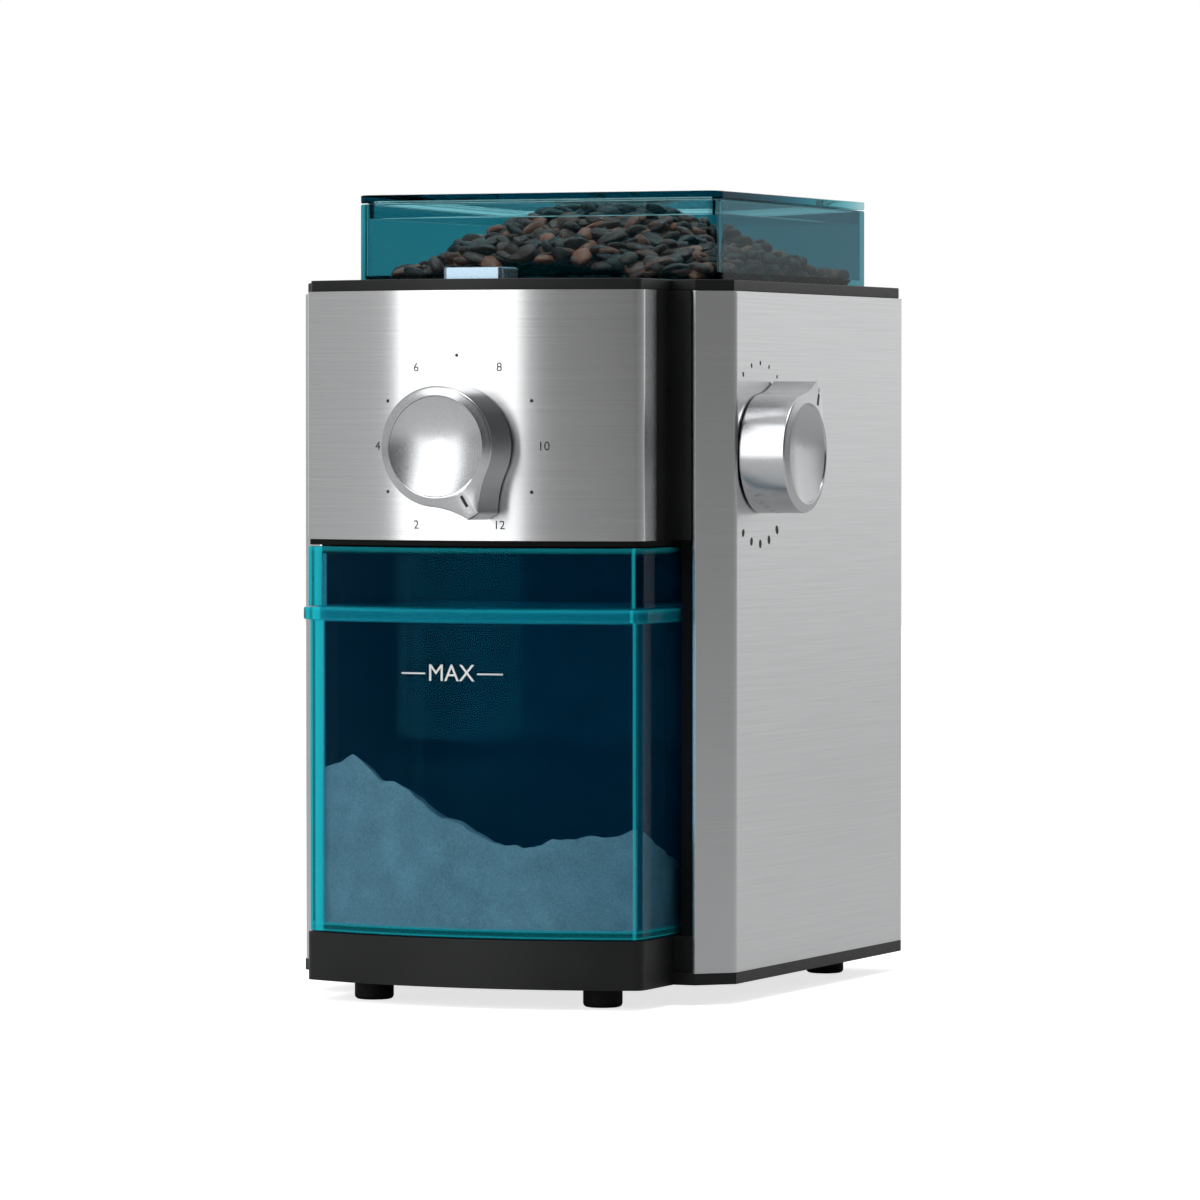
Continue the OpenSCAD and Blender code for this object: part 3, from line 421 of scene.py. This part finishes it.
def enamelledWire():
    # round turns of lacquered copper, drawn 0.8 mm a turn
    material, tree, shader = newMaterial("enamelled copper wire", {"Metallic": 0.85, "Coat Weight": 0.6})
    where = addNode(tree, "ShaderNodeTexCoord")
    turns = addNode(tree, "ShaderNodeTexWave", {"Scale": 1 / (0.8 * mm) / 3, "Distortion": 0.6,
                                                "bands_direction": "Z"}, {"Vector": where.outputs["Object"]})
    tones = addNode(tree, "ShaderNodeValToRGB", {"stops": stopsOf("7a3517", "c2683a")},
                    {0: turns.outputs["Fac"]})
    dull = addNode(tree, "ShaderNodeMapRange", rangeOf(0.3, 0.45), {"Value": turns.outputs["Fac"]})
    relief = addNode(tree, "ShaderNodeBump", {"Strength": 0.6, "Distance": 0.2 * mm},
                     {"Height": turns.outputs["Fac"]})
    tree.links.new(tones.outputs["Color"], shader.inputs["Base Color"])
    tree.links.new(dull.outputs[0], shader.inputs["Roughness"])
    tree.links.new(relief.outputs[0], shader.inputs["Normal"])
    return material


finishes = {
    "black_plastic": mouldedFinish("black moulded abs", "151617", "1c1d1e"),
    "rubber": mouldedFinish("black nitrile rubber", "101011", "171718", (0.6, 0.8), 0.8 * mm, 0.3),
    "steel_skin": brushedStainless(),
    "zinc_screw": metalFinish("zinc plated steel", "8f9499", "b4b8bb", (0.28, 0.42), 0.6 * mm),
    "die_cast": metalFinish("die cast alloy", "85888b", "a3a6a9", (0.45, 0.6), 1.2 * mm, strength=0.3),
    "lamination": metalFinish("stacked silicon steel", "54575b", "7a7d81", (0.35, 0.5), 0.5 * mm,
                              (0.02, 0.02, 1)),
    "enamelled_copper": enamelledWire(),
    "copper_segments": metalFinish("turned copper", "b46a3f", "d08a5c", (0.2, 0.32), 0.3 * mm,
                                   (0.02, 0.02, 1)),
    "phenolic": mouldedFinish("brown phenolic", "38251a", "4a3325", (0.4, 0.55), 0.9 * mm),
    "carbon": mouldedFinish("pressed carbon", "1b1b1c", "2a2a2c", (0.5, 0.65), 0.3 * mm),
    "bearing_steel": metalFinish("ground bearing steel", "bfc2c5", "d4d6d8", (0.12, 0.22), 0.3 * mm,
                                 (0.05, 0.05, 1)),
    "burr_steel": metalFinish("hardened burr steel", "a9acae", "c9cbcd", (0.18, 0.3), 0.5 * mm),
    "felt": mouldedFinish("pressed felt", "8d7c5e", "a9977a", (0.85, 0.98), 0.7 * mm, 0.9),
    "board": mouldedFinish("green circuit laminate", "163f22", "20562f", (0.3, 0.42), 1.5 * mm, 0.1),
    "component": mouldedFinish("grey component case", "2b2e33", "3a3e44", (0.35, 0.5), 0.7 * mm),
    "fan_plastic": mouldedFinish("natural nylon", "c9c9bf", "dedfd6", (0.35, 0.5), 0.9 * mm, 0.15),
    "acetal": mouldedFinish("cream acetal", "cdbf96", "ded2ae", (0.28, 0.4), 1.0 * mm, 0.1),
    "silver_plastic": satinLacquer("satin silver lacquer", "b4b6b8", "c8cacc", (0.19, 0.25)),
    "white_mark": mouldedFinish("white pad print", "dededa", "f4f4f0", (0.4, 0.5), 0.3 * mm, 0.1),
    # the pale blue in the button's lacquer is a painted reflection; the lacquer itself is silver white
    "button_plastic": satinLacquer("silver lacquer with painted blue reflection", "8b9fad", "93a8b5", (0.22, 0.32)),
    "spring_steel": metalFinish("drawn spring wire", "a8acb0", "c9ccd0", (0.18, 0.3), 0.2 * mm),
    "smoke_clear": clearSan("deep teal clear plastic", clearLooks["smoke_clear"]),
    "hopper_clear": clearSan("teal clear plastic", clearLooks["hopper_clear"]),
}
capClear = clearSan("pale teal clear plastic", clearLooks["hopper_cap"])
# painted shade: the inner bay gets a darker, duller copy of the black moulding, so it reads dark through the
# clear container
shadedBayBlack = mouldedFinish("dull black moulded abs with painted shade", "0d0e0f", "131415", (0.7, 0.85), 0.5 * mm, 0.1, 0.1)
darkPrint = mouldedFinish("dark grey pad print", "2a2b2d", "3b3c3f", (0.5, 0.6), 0.3 * mm, 0.1)
beanFinish = roastedBean()
grindFinish = groundCoffee()
slotOf = {entry["node"]: entry["material_slot"] for entry in frame["record"]["subparts"]}
bodyOf = {node: body for body, nodes in frame["record"]["behaviour"]["bodies"].items() for node in nodes}
for name, node in frame["nodes"].items():
    node.data.materials.clear()
    node.data.materials.append(finishes[slotOf[name]])
print("materials ready:", len(bpy.data.materials))


def layFloor():
    # a wide pale sweep under the feet, lifted to white for the eye but dimmer as a reflector
    material, tree, shader = newMaterial("white paper sweep", {"Roughness": 0.9, "Specular IOR Level": 0.1,
                                                               "Emission Strength": floorLook["lift"]})
    where = addNode(tree, "ShaderNodeTexCoord")
    fibre = addNode(tree, "ShaderNodeTexNoise", {"Scale": 1 / (3 * mm), "Detail": 2.0},
                    {"Vector": where.outputs["Object"]})
    paper = addNode(tree, "ShaderNodeValToRGB", {"stops": stopsOf("f4f4f4", "fafafa")}, {0: fibre.outputs[0]})
    lifted = addNode(tree, "ShaderNodeValToRGB", {"stops": stopsOf("fbfbfb", "ffffff")},
                     {0: fibre.outputs[0]})
    tree.links.new(paper.outputs["Color"], shader.inputs["Base Color"])
    tree.links.new(lifted.outputs["Color"], shader.inputs["Emission Color"])
    dim = addNode(tree, "ShaderNodeBsdfDiffuse", {"Color": rgb("d4d4d4")})
    path = addNode(tree, "ShaderNodeLightPath")
    mixed = addNode(tree, "ShaderNodeMixShader", links={0: path.outputs["Is Camera Ray"], 1: dim.outputs[0],
                                                        2: shader.outputs[0]})
    tree.links.new(mixed.outputs[0], tree.nodes["Material Output"].inputs["Surface"])
    mesh = bmesh.new()
    bmesh.ops.create_circle(mesh, cap_ends=True, segments=96, radius=floorLook["radius"])
    data = bpy.data.meshes.new("floor")
    mesh.to_mesh(data)
    mesh.free()
    data.materials.append(material)
    floor = bpy.data.objects.new("floor", data)
    bpy.context.collection.objects.link(floor)


layFloor()


def finishPiece(mesh, name, body, material, nodes=(), smooth=30):
    # turns a bmesh into a named piece that rides on a body
    data = bpy.data.meshes.new(name)
    mesh.to_mesh(data)
    mesh.free()
    data.materials.append(material)
    for face in data.polygons:
        face.use_smooth = True
    data.set_sharp_from_angle(angle=math.radians(smooth))
    piece = bpy.data.objects.new(name, data)
    bpy.context.collection.objects.link(piece)
    # keeps the flats flat beside rounded edges
    level = piece.modifiers.new("even shading", "WEIGHTED_NORMAL")
    level.keep_sharp = True
    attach(piece, body)
    if nodes:
        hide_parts(*nodes)
    return piece


def mergedCopy(node):
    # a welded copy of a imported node, flat faces joined up again
    mesh = bmesh.new()
    mesh.from_mesh(frame["nodes"][node].data)
    bmesh.ops.remove_doubles(mesh, verts=mesh.verts, dist=2e-6)
    bmesh.ops.dissolve_limit(mesh, angle_limit=math.radians(0.3), verts=mesh.verts, edges=mesh.edges)
    return mesh


def softened(node, width, segments=2, angle=25, material=None):
    # the node with its sharp edges rounded, as moulded and pressed parts have
    mesh = mergedCopy(node)
    if node == "steel_sleeve":
        # the outer bends of the sheet, folded round a 1.6 mm tool
        bends = [edge for edge in mesh.edges if edge.calc_length() > 0.1 and len(edge.link_faces) == 2
                 and edge.calc_face_angle(0) > 0.3
                 and (edge.verts[0].co - edge.verts[1].co).normalized().z ** 2 > 0.99
                 and abs(edge.verts[0].co.x - midX) > (sleeveHigh.x - sleeveLow.x) / 2 - 0.4 * mm]
        bmesh.ops.bevel(mesh, geom=bends, offset=1.3 * mm, offset_type="OFFSET", segments=4, profile=0.5,
                        affect="EDGES", clamp_overlap=True, material=-1)
    sharp = [edge for edge in mesh.edges if len(edge.link_faces) == 2
             and edge.calc_face_angle(0) > math.radians(angle)]
    bmesh.ops.bevel(mesh, geom=sharp, offset=width, offset_type="OFFSET", segments=segments, profile=0.5,
                    affect="EDGES", clamp_overlap=True, material=-1)
    bmesh.ops.remove_doubles(mesh, verts=mesh.verts, dist=1e-6)
    return finishPiece(mesh, node + "_skin", bodyOf[node], material or finishes[slotOf[node]],
                       (node,))


edgeRounding = {
    "base": 0.9 * mm, "top_deck": 0.7 * mm, "core_frame": 0.3 * mm, "front_carrier": 0.3 * mm,
    "front_panel": 0.45 * mm, "steel_sleeve": 0.35 * mm, "rubber_feet": 0.5 * mm, "start_button": 0.6 * mm,
    "hopper_lid": 0.5 * mm, "hopper": 0.4 * mm, "container_lid": 0.5 * mm, "grounds_container": 0.5 * mm,
    "cord_gland": 0.5 * mm,
}
ownFinish = {"core_frame": shadedBayBlack, "hopper_lid": capClear}
for node, width in edgeRounding.items():
    softened(node, width, material=ownFinish.get(node))
print("shell pieces rounded")

knob = {"radius": 19.2 * mm, "height": 16.5 * mm, "noseEnd": 25.6 * mm, "noseHalf": 2.0 * mm, "flank": 30 * mm,
        "dish": 15.7 * mm, "dishDepth": 3.0 * mm, "bandDrop": 0.9 * mm, "segments": 168,
        "noseTurn": {"dial_knob": -60.0, "grind_knob": 60.75}}


def outlineRadius(angle):
    # teardrop: a circle that runs into a blunt nose over two hollow flanks
    angle = abs((angle + math.pi) % (2 * math.pi) - math.pi)
    radius, end, half, hollow = knob["radius"], knob["noseEnd"], knob["noseHalf"], knob["flank"]
    if angle < math.atan2(half, end):
        return end / math.cos(angle)
    reach = (radius ** 2 + 2 * radius * hollow + end ** 2 + half ** 2) / (2 * (radius + hollow))
    turn = math.acos(reach / math.hypot(end, half)) + math.atan2(half, end)
    if angle > turn:
        return radius
    along = (radius + hollow) * math.cos(angle - turn)
    return along - math.sqrt(max(along ** 2 - (radius + hollow) ** 2 + hollow ** 2, 0))


def addRing(mesh, edges, radius, height, nose):
    # the next ring of the knob: nose 1 follows the teardrop, 0 the circle
    made = bmesh.ops.extrude_edge_only(mesh, edges=edges)["geom"]
    for vert in (v for v in made if isinstance(v, bmesh.types.BMVert)):
        angle = math.atan2(vert.co.y, vert.co.x)
        length = radius + nose * (outlineRadius(angle) - knob["radius"])
        vert.co = Vector((math.cos(angle) * length, math.sin(angle) * length, height))
    return [e for e in made if isinstance(e, bmesh.types.BMEdge)]


def makeKnob(node, place):
    mesh = bmesh.new()
    bmesh.ops.create_circle(mesh, segments=knob["segments"], radius=knob["radius"])
    radius, high, dish = knob["radius"], knob["height"], knob["dish"]
    for vert in mesh.verts:
        angle = math.atan2(vert.co.y, vert.co.x)
        angle -= 0.8 * math.sin(angle)  # closer together round the nose
        length = outlineRadius(angle) - 1.6 * mm
        vert.co = Vector((math.cos(angle) * length, math.sin(angle) * length, 0.5 * mm))
    edges = mesh.edges[:]
    bmesh.ops.contextual_create(mesh, geom=edges)
    drop = knob["bandDrop"]
    rings = [(radius - 0.6 * mm, 0.0, 1), (radius - 0.1 * mm, 0.3 * mm, 1), (radius, 0.8 * mm, 1),
             (radius - 0.15 * mm, high - drop - 0.5 * mm, 1), (radius - 0.4 * mm, high - drop - 0.1 * mm, 1),
             (radius - 0.8 * mm, high - drop + 0.1 * mm, 0.98), (radius - 1.6 * mm, high - 0.62 * drop, 0.6),
             (dish + 0.9 * mm, high - 0.15 * mm, 0.08), (dish + 0.55 * mm, high, 0),
             (dish + 0.2 * mm, high - 0.1 * mm, 0), (dish, high - 0.5 * mm, 0)]
    for radiusNow, height, nose in rings:
        edges = addRing(mesh, edges, radiusNow, height, nose)
    for share in (0.96, 0.9, 0.8, 0.65, 0.45, 0.25, 0.08):
        depth = 0.5 * mm + (knob["dishDepth"] - 0.5 * mm) * (1 - share ** 2)
        edges = addRing(mesh, edges, dish * share, high - depth, 0)
    bmesh.ops.contextual_create(mesh, geom=edges)
    bmesh.ops.recalc_face_normals(mesh, faces=mesh.faces)
    mesh.transform(place)
    return finishPiece(mesh, node + "_body", bodyOf[node], finishes["silver_plastic"],
                       (node,), 35)


def knobPlace(node):
    # x runs along the nose, z out of the body
    low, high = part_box(node)
    turn = Matrix.Rotation(math.radians(knob["noseTurn"][node]), 4, "Z")
    if node == "dial_knob":
        middle = Vector((low.x + knob["radius"], high.y, high.z - knob["radius"]))
        return Matrix.Translation(middle) @ Matrix.Rotation(math.radians(90), 4, "X") @ turn
    middle = Vector((low.x, low.y + knob["radius"], low.z + knob["radius"]))
    face = Matrix(((0, 0, 1, 0), (1, 0, 0, 0), (0, 1, 0, 0), (0, 0, 0, 1)))
    return Matrix.Translation(middle) @ face @ turn


def bandHeight(along):
    # height of the sloping band at a distance along the nose
    share = (along - knob["dish"] - 0.6 * mm) / (knob["noseEnd"] - knob["dish"] - 1.4 * mm)
    return knob["height"] - knob["bandDrop"] * min(max(share, 0), 1)


def makePointer(node, knobNode):
    # black line with a white dot at its end, printed on the nose
    place = knobPlace(knobNode)
    line = bmesh.new()
    bmesh.ops.create_grid(line, x_segments=6, y_segments=1, size=0.5)
    for vert in line.verts:
        along = 17.9 * mm + (vert.co.x + 0.5) * 3.9 * mm
        vert.co = Vector((along, vert.co.y * 0.95 * mm, bandHeight(along) + 0.12 * mm))
    bmesh.ops.solidify(line, geom=line.faces, thickness=0.3 * mm)
    bmesh.ops.recalc_face_normals(line, faces=line.faces)
    line.transform(place)
    finishPiece(line, node + "_line", bodyOf[node], darkPrint)
    dot = bmesh.new()
    bmesh.ops.create_circle(dot, cap_ends=True, segments=24, radius=0.95 * mm)
    for vert in dot.verts:
        along = 23.4 * mm + vert.co.x
        vert.co = Vector((along, vert.co.y, bandHeight(along) + 0.14 * mm))
    bmesh.ops.solidify(dot, geom=dot.faces, thickness=0.3 * mm)
    bmesh.ops.recalc_face_normals(dot, faces=dot.faces)
    dot.transform(place)
    finishPiece(dot, node + "_dot", bodyOf[node], finishes["white_mark"], (node,))


for node in ("dial_knob", "grind_knob"):
    makeKnob(node, knobPlace(node))
makePointer("dial_index", "dial_knob")
makePointer("grind_index", "grind_knob")
print("knobs ready")

bow = {"radius": 148.6 * mm}  # the round that the front panel and the container share
# the container's wall stands back behind its ledge
clearWall = {"setBack": 2.1 * mm, "thick": 2.2 * mm, "bowInset": 0.6 * mm}
scale = {"radius": 28.8 * mm, "letter": 3.9 * mm, "dot": 0.55 * mm, "thick": 0.05 * mm,
         "numbers": {-60: "12", 0: "10", 60: "8", 120: "6", 180: "4", 240: "2"},
         "dots": (-30, 30, 90, 150, 210), "maxSize": 7.6 * mm, "maxShift": -2.4 * mm, "maxHeight": 106 * mm,
         "grindMarks": 17, "grindStep": 15.19, "grindRadius": 29 * mm}


def bowedY(x, crown, inset=0.0):
    # y of the bowed front at x, for a skin whose crown is at that y
    radius = bow["radius"] - inset
    return crown + radius - math.sqrt(radius ** 2 - (x - midX) ** 2)


def writing(mesh, text, size, middle):
    # adds a word, upright in XZ and centred on middle, to a flat bmesh
    curve = bpy.data.curves.new(text, "FONT")
    curve.body = text
    curve.size = size
    curve.align_x = "CENTER"
    curve.align_y = "CENTER"
    word = bpy.data.objects.new(text, curve)
    data = bpy.data.meshes.new_from_object(word)
    data.transform(Matrix.Translation(middle) @ Matrix.Rotation(math.radians(90), 4, "X"))
    mesh.from_mesh(data)
    bpy.data.objects.remove(word)
    bpy.data.curves.remove(curve)
    bpy.data.meshes.remove(data)


def spot(mesh, middle, wide, tall, turn=0.0, segments=20):
    # an oval mark in XZ, its tall way along turn
    made = bmesh.ops.create_circle(mesh, cap_ends=True, segments=segments, radius=1.0)["verts"]
    move = (Matrix.Translation(middle) @ Matrix.Rotation(math.radians(90), 4, "X")
            @ Matrix.Rotation(math.radians(turn), 4, "Z") @ Matrix.Diagonal((wide, tall, 1, 1)))
    bmesh.ops.transform(mesh, matrix=move, verts=made)


def pressOn(mesh, surface, lift):
    # lays flat marks onto a surface y(x) and gives them the thickness of ink
    bmesh.ops.triangulate(mesh, faces=mesh.faces)
    bmesh.ops.remove_doubles(mesh, verts=mesh.verts, dist=1e-6)
    for vert in mesh.verts:
        vert.co.y = surface(vert.co.x) - lift
    bmesh.ops.recalc_face_normals(mesh, faces=mesh.faces)
    if sum(face.normal.y for face in mesh.faces) > 0:
        bmesh.ops.reverse_faces(mesh, faces=mesh.faces)
    bmesh.ops.solidify(mesh, geom=mesh.faces, thickness=lift * 0.8)
    bmesh.ops.recalc_face_normals(mesh, faces=mesh.faces)


def printDialScale():
    middle = knobPlace("dial_knob").translation
    mesh = bmesh.new()
    for turn, number in scale["numbers"].items():
        spin = math.radians(turn)
        place = middle + Vector((math.cos(spin), 0, math.sin(spin))) * scale["radius"]
        writing(mesh, number, scale["letter"], place)
    for turn in scale["dots"]:
        spin = math.radians(turn)
        place = middle + Vector((math.cos(spin), 0, math.sin(spin))) * scale["radius"]
        spot(mesh, place, scale["dot"], scale["dot"])
    pressOn(mesh, lambda x: bowedY(x, panelLow.y), scale["thick"])
    finishPiece(mesh, "dial_scale", "housing", darkPrint)


def printGrindScale():
    # grains of coffee that grow from fine at the top to coarse at the bottom
    middle = knobPlace("grind_knob").translation
    mesh = bmesh.new()
    half = (scale["grindMarks"] - 1) / 2
    for mark in range(scale["grindMarks"]):
        turn = 180 + (mark - half) * scale["grindStep"]
        spin = math.radians(turn)
        if math.cos(spin) * scale["grindRadius"] < -19.5 * mm:
            continue  # off the flat, on the slanted edge
        share = mark / (scale["grindMarks"] - 1)  # 0 fine at the top, 1 coarse at the bottom
        tall = (0.65 + 0.85 * share) * mm
        wide = (0.42 + 0.75 * share) * mm
        place = Vector((math.cos(spin), 0, math.sin(spin))) * scale["grindRadius"]
        spot(mesh, place, wide, tall, turn - 90)
    pressOn(mesh, lambda x: 0.0, scale["thick"])
    # from the XZ plane to the side of the sleeve
    turned = Matrix(((0, -1, 0, sleeveHigh.x), (1, 0, 0, middle.y), (0, 0, 1, middle.z), (0, 0, 0, 1)))
    mesh.transform(turned)
    finishPiece(mesh, "grind_scale", "housing", darkPrint)


def printMaxMark():
    crown = binLow.y + clearWall["setBack"]
    mesh = bmesh.new()
    middle = Vector((midX + scale["maxShift"], 0, scale["maxHeight"]))
    writing(mesh, "MAX", scale["maxSize"], middle)
    for side in (-1, 1):
        made = bmesh.ops.create_grid(mesh, x_segments=4, y_segments=1, size=0.5)["verts"]
        move = (Matrix.Translation(middle + Vector((side * 13.4 * mm, 0, 0)))
                @ Matrix.Rotation(math.radians(90), 4, "X") @ Matrix.Diagonal((8.6 * mm, 0.5 * mm, 1, 1)))
        bmesh.ops.transform(mesh, matrix=move, verts=made)
    pressOn(mesh, lambda x: bowedY(x, crown, clearWall["bowInset"]), scale["thick"])
    finishPiece(mesh, "max_mark", "container", finishes["white_mark"])


printDialScale()
printGrindScale()
printMaxMark()
print("scales printed")

beans = {"count": 1150, "long": 4.9 * mm, "wide": 3.3 * mm, "thick": 2.1 * mm, "gap": 4.9 * mm,
         "heapWide": 67 * mm, "heapDeep": 71 * mm, "heapHeight": 29 * mm, "top": 22.8 * mm, "seed": 7}
grounds = {"clear": 0.35 * mm,
           "ridge": [(-58, 73), (-50, 76), (-40, 79), (-30, 74), (-16, 66), (0, 58), (14, 50.5), (26, 52.5),
                     (36, 53.5), (48, 56), (58, 57)]}


def heapTop(x, y):
    # height of the heap above the hopper floor: poured to the lid and run out to the walls
    across = abs(x - midX) / beans["heapWide"]
    along = abs(y - (hopperLow.y + hopperHigh.y) / 2 + 6 * mm) / beans["heapDeep"]
    away = (across ** 2.4 + along ** 2.4) ** (1 / 2.4)
    wave = noise.noise(Vector((x, y, 0)) * 45) * 2.4 * mm
    return min(beans["heapHeight"] * max(1 - away ** 1.15, 0) + wave * 0.8, beans["top"])


def oneBean():
    # domed on one side, flat with a crease on the other
    mesh = bmesh.new()
    bmesh.ops.create_uvsphere(mesh, u_segments=10, v_segments=6, radius=1.0)
    bmesh.ops.rotate(mesh, cent=(0, 0, 0), matrix=Matrix.Rotation(math.radians(90), 3, "Y"), verts=mesh.verts)
    for vert in mesh.verts:
        if vert.co.z < -0.05:
            vert.co.z *= 0.55
            if abs(vert.co.y) < 0.12 and abs(vert.co.x) < 0.95:
                vert.co.z *= -0.25
        vert.co = Vector((vert.co.x * beans["long"], vert.co.y * beans["wide"],
                          vert.co.z * beans["thick"] * 1.15))
    return mesh


def pourBeans():
    random.seed(beans["seed"])
    centre = Vector((midX, (hopperLow.y + hopperHigh.y) / 2, 0))
    floor = deckHigh.z + 2.6 * mm
    shape = oneBean()
    data = bpy.data.meshes.new("bean")
    shape.to_mesh(data)
    shape.free()
    mesh = bmesh.new()
    roast = []
    cells = {}
    gap = beans["gap"]
    for _ in range(beans["count"]):
        for _ in range(30):  # tries for a free place
            x = centre.x + random.uniform(-56, 56) * mm
            y = centre.y + random.uniform(-60, 60) * mm
            z = floor + max(heapTop(x, y) - random.random() * 5.5 * mm, 0.8 * mm)
            cell = (int(x // gap), int(y // gap), int(z // gap))
            near = [other for i in (-1, 0, 1) for j in (-1, 0, 1) for k in (-1, 0, 1)
                    for other in cells.get((cell[0] + i, cell[1] + j, cell[2] + k), ())]
            if all(math.dist((x, y, z), other) > gap for other in near):
                break
        cells.setdefault(cell, []).append((x, y, z))
        size = random.uniform(0.86, 1.14)
        lean = Matrix.Rotation(random.uniform(-0.9, 0.9), 4, "X")
        lean = lean @ Matrix.Rotation(random.uniform(-0.5, 0.5), 4, "Y")
        flip = Matrix.Rotation(math.pi if random.random() < 0.55 else 0.0, 4, "X")
        spin = Matrix.Rotation(random.uniform(0, 2 * math.pi), 4, "Z")
        move = Matrix.Translation((x, y, z)) @ spin @ lean @ flip @ Matrix.Scale(size, 4)
        data.transform(move)
        mesh.from_mesh(data)
        data.transform(move.inverted())
        roast += [random.betavariate(1.6, 2.6)] * len(data.vertices)
    bpy.data.meshes.remove(data)
    # under the top layers the heap is one solid, so the light doesn't pass between the beans
    made = bmesh.ops.create_grid(mesh, x_segments=40, y_segments=40, size=55 * mm)["verts"]
    for vert in made:
        x, y = vert.co.x + centre.x, vert.co.y + centre.y
        vert.co = Vector((x, y, floor + max(heapTop(x, y) - 6.5 * mm, 0.2 * mm)))
    # the solid takes the darkest tone: painted shade in the gaps between the beans
    roast += [0.05] * len(made)
    piece = finishPiece(mesh, "coffee_beans", "bean_hopper", beanFinish, smooth=60)
    own = piece.data.attributes.new("roast", "FLOAT", "POINT")
    own.data.foreach_set("value", roast)
    return piece


def ridgeHeight(x):
    points = grounds["ridge"]
    local = (x - midX) / mm
    for (x0, z0), (x1, z1) in zip(points, points[1:]):
        if local <= x1:
            share = min(max((local - x0) / (x1 - x0), 0), 1)
            return (z0 + (z1 - z0) * share) * mm
    return points[-1][1] * mm


def fillContainer():
    wall = clearWall["thick"] + grounds["clear"]
    crown = binLow.y + clearWall["setBack"] + wall
    left, right = binLow.x + clearWall["setBack"] + wall, binHigh.x - clearWall["setBack"] - wall
    back = binHigh.y - 1.0 * mm - wall - 0.3 * mm
    floor = binLow.z + wall
    mesh = bmesh.new()
    bmesh.ops.create_grid(mesh, x_segments=150, y_segments=80, size=0.5)
    for vert in mesh.verts:
        x = left + (right - left) * (vert.co.x + 0.5)
        front = bowedY(x, crown, clearWall["bowInset"] + wall)
        depth = vert.co.y + 0.5
        y = front + (back - front) * depth
        crumbs = noise.noise(Vector((x, y, 1.0)) * 260) * 1.1 * mm
        lumps = noise.noise(Vector((x, y, 4.0)) * 90) * 2.0 * mm
        z = ridgeHeight(x) * (1 - 0.5 * depth ** 1.1) + (crumbs + lumps)
        vert.co = Vector((x, y, z))
    rim = [edge for edge in mesh.edges if edge.is_boundary]
    made = bmesh.ops.extrude_edge_only(mesh, edges=rim)["geom"]
    for vert in (v for v in made if isinstance(v, bmesh.types.BMVert)):
        vert.co.z = floor
    bmesh.ops.contextual_create(mesh, geom=[e for e in made if isinstance(e, bmesh.types.BMEdge)])
    bmesh.ops.recalc_face_normals(mesh, faces=mesh.faces)
    finishPiece(mesh, "ground_coffee", "container", grindFinish, smooth=50)


pourBeans()
fillContainer()
print("coffee poured")
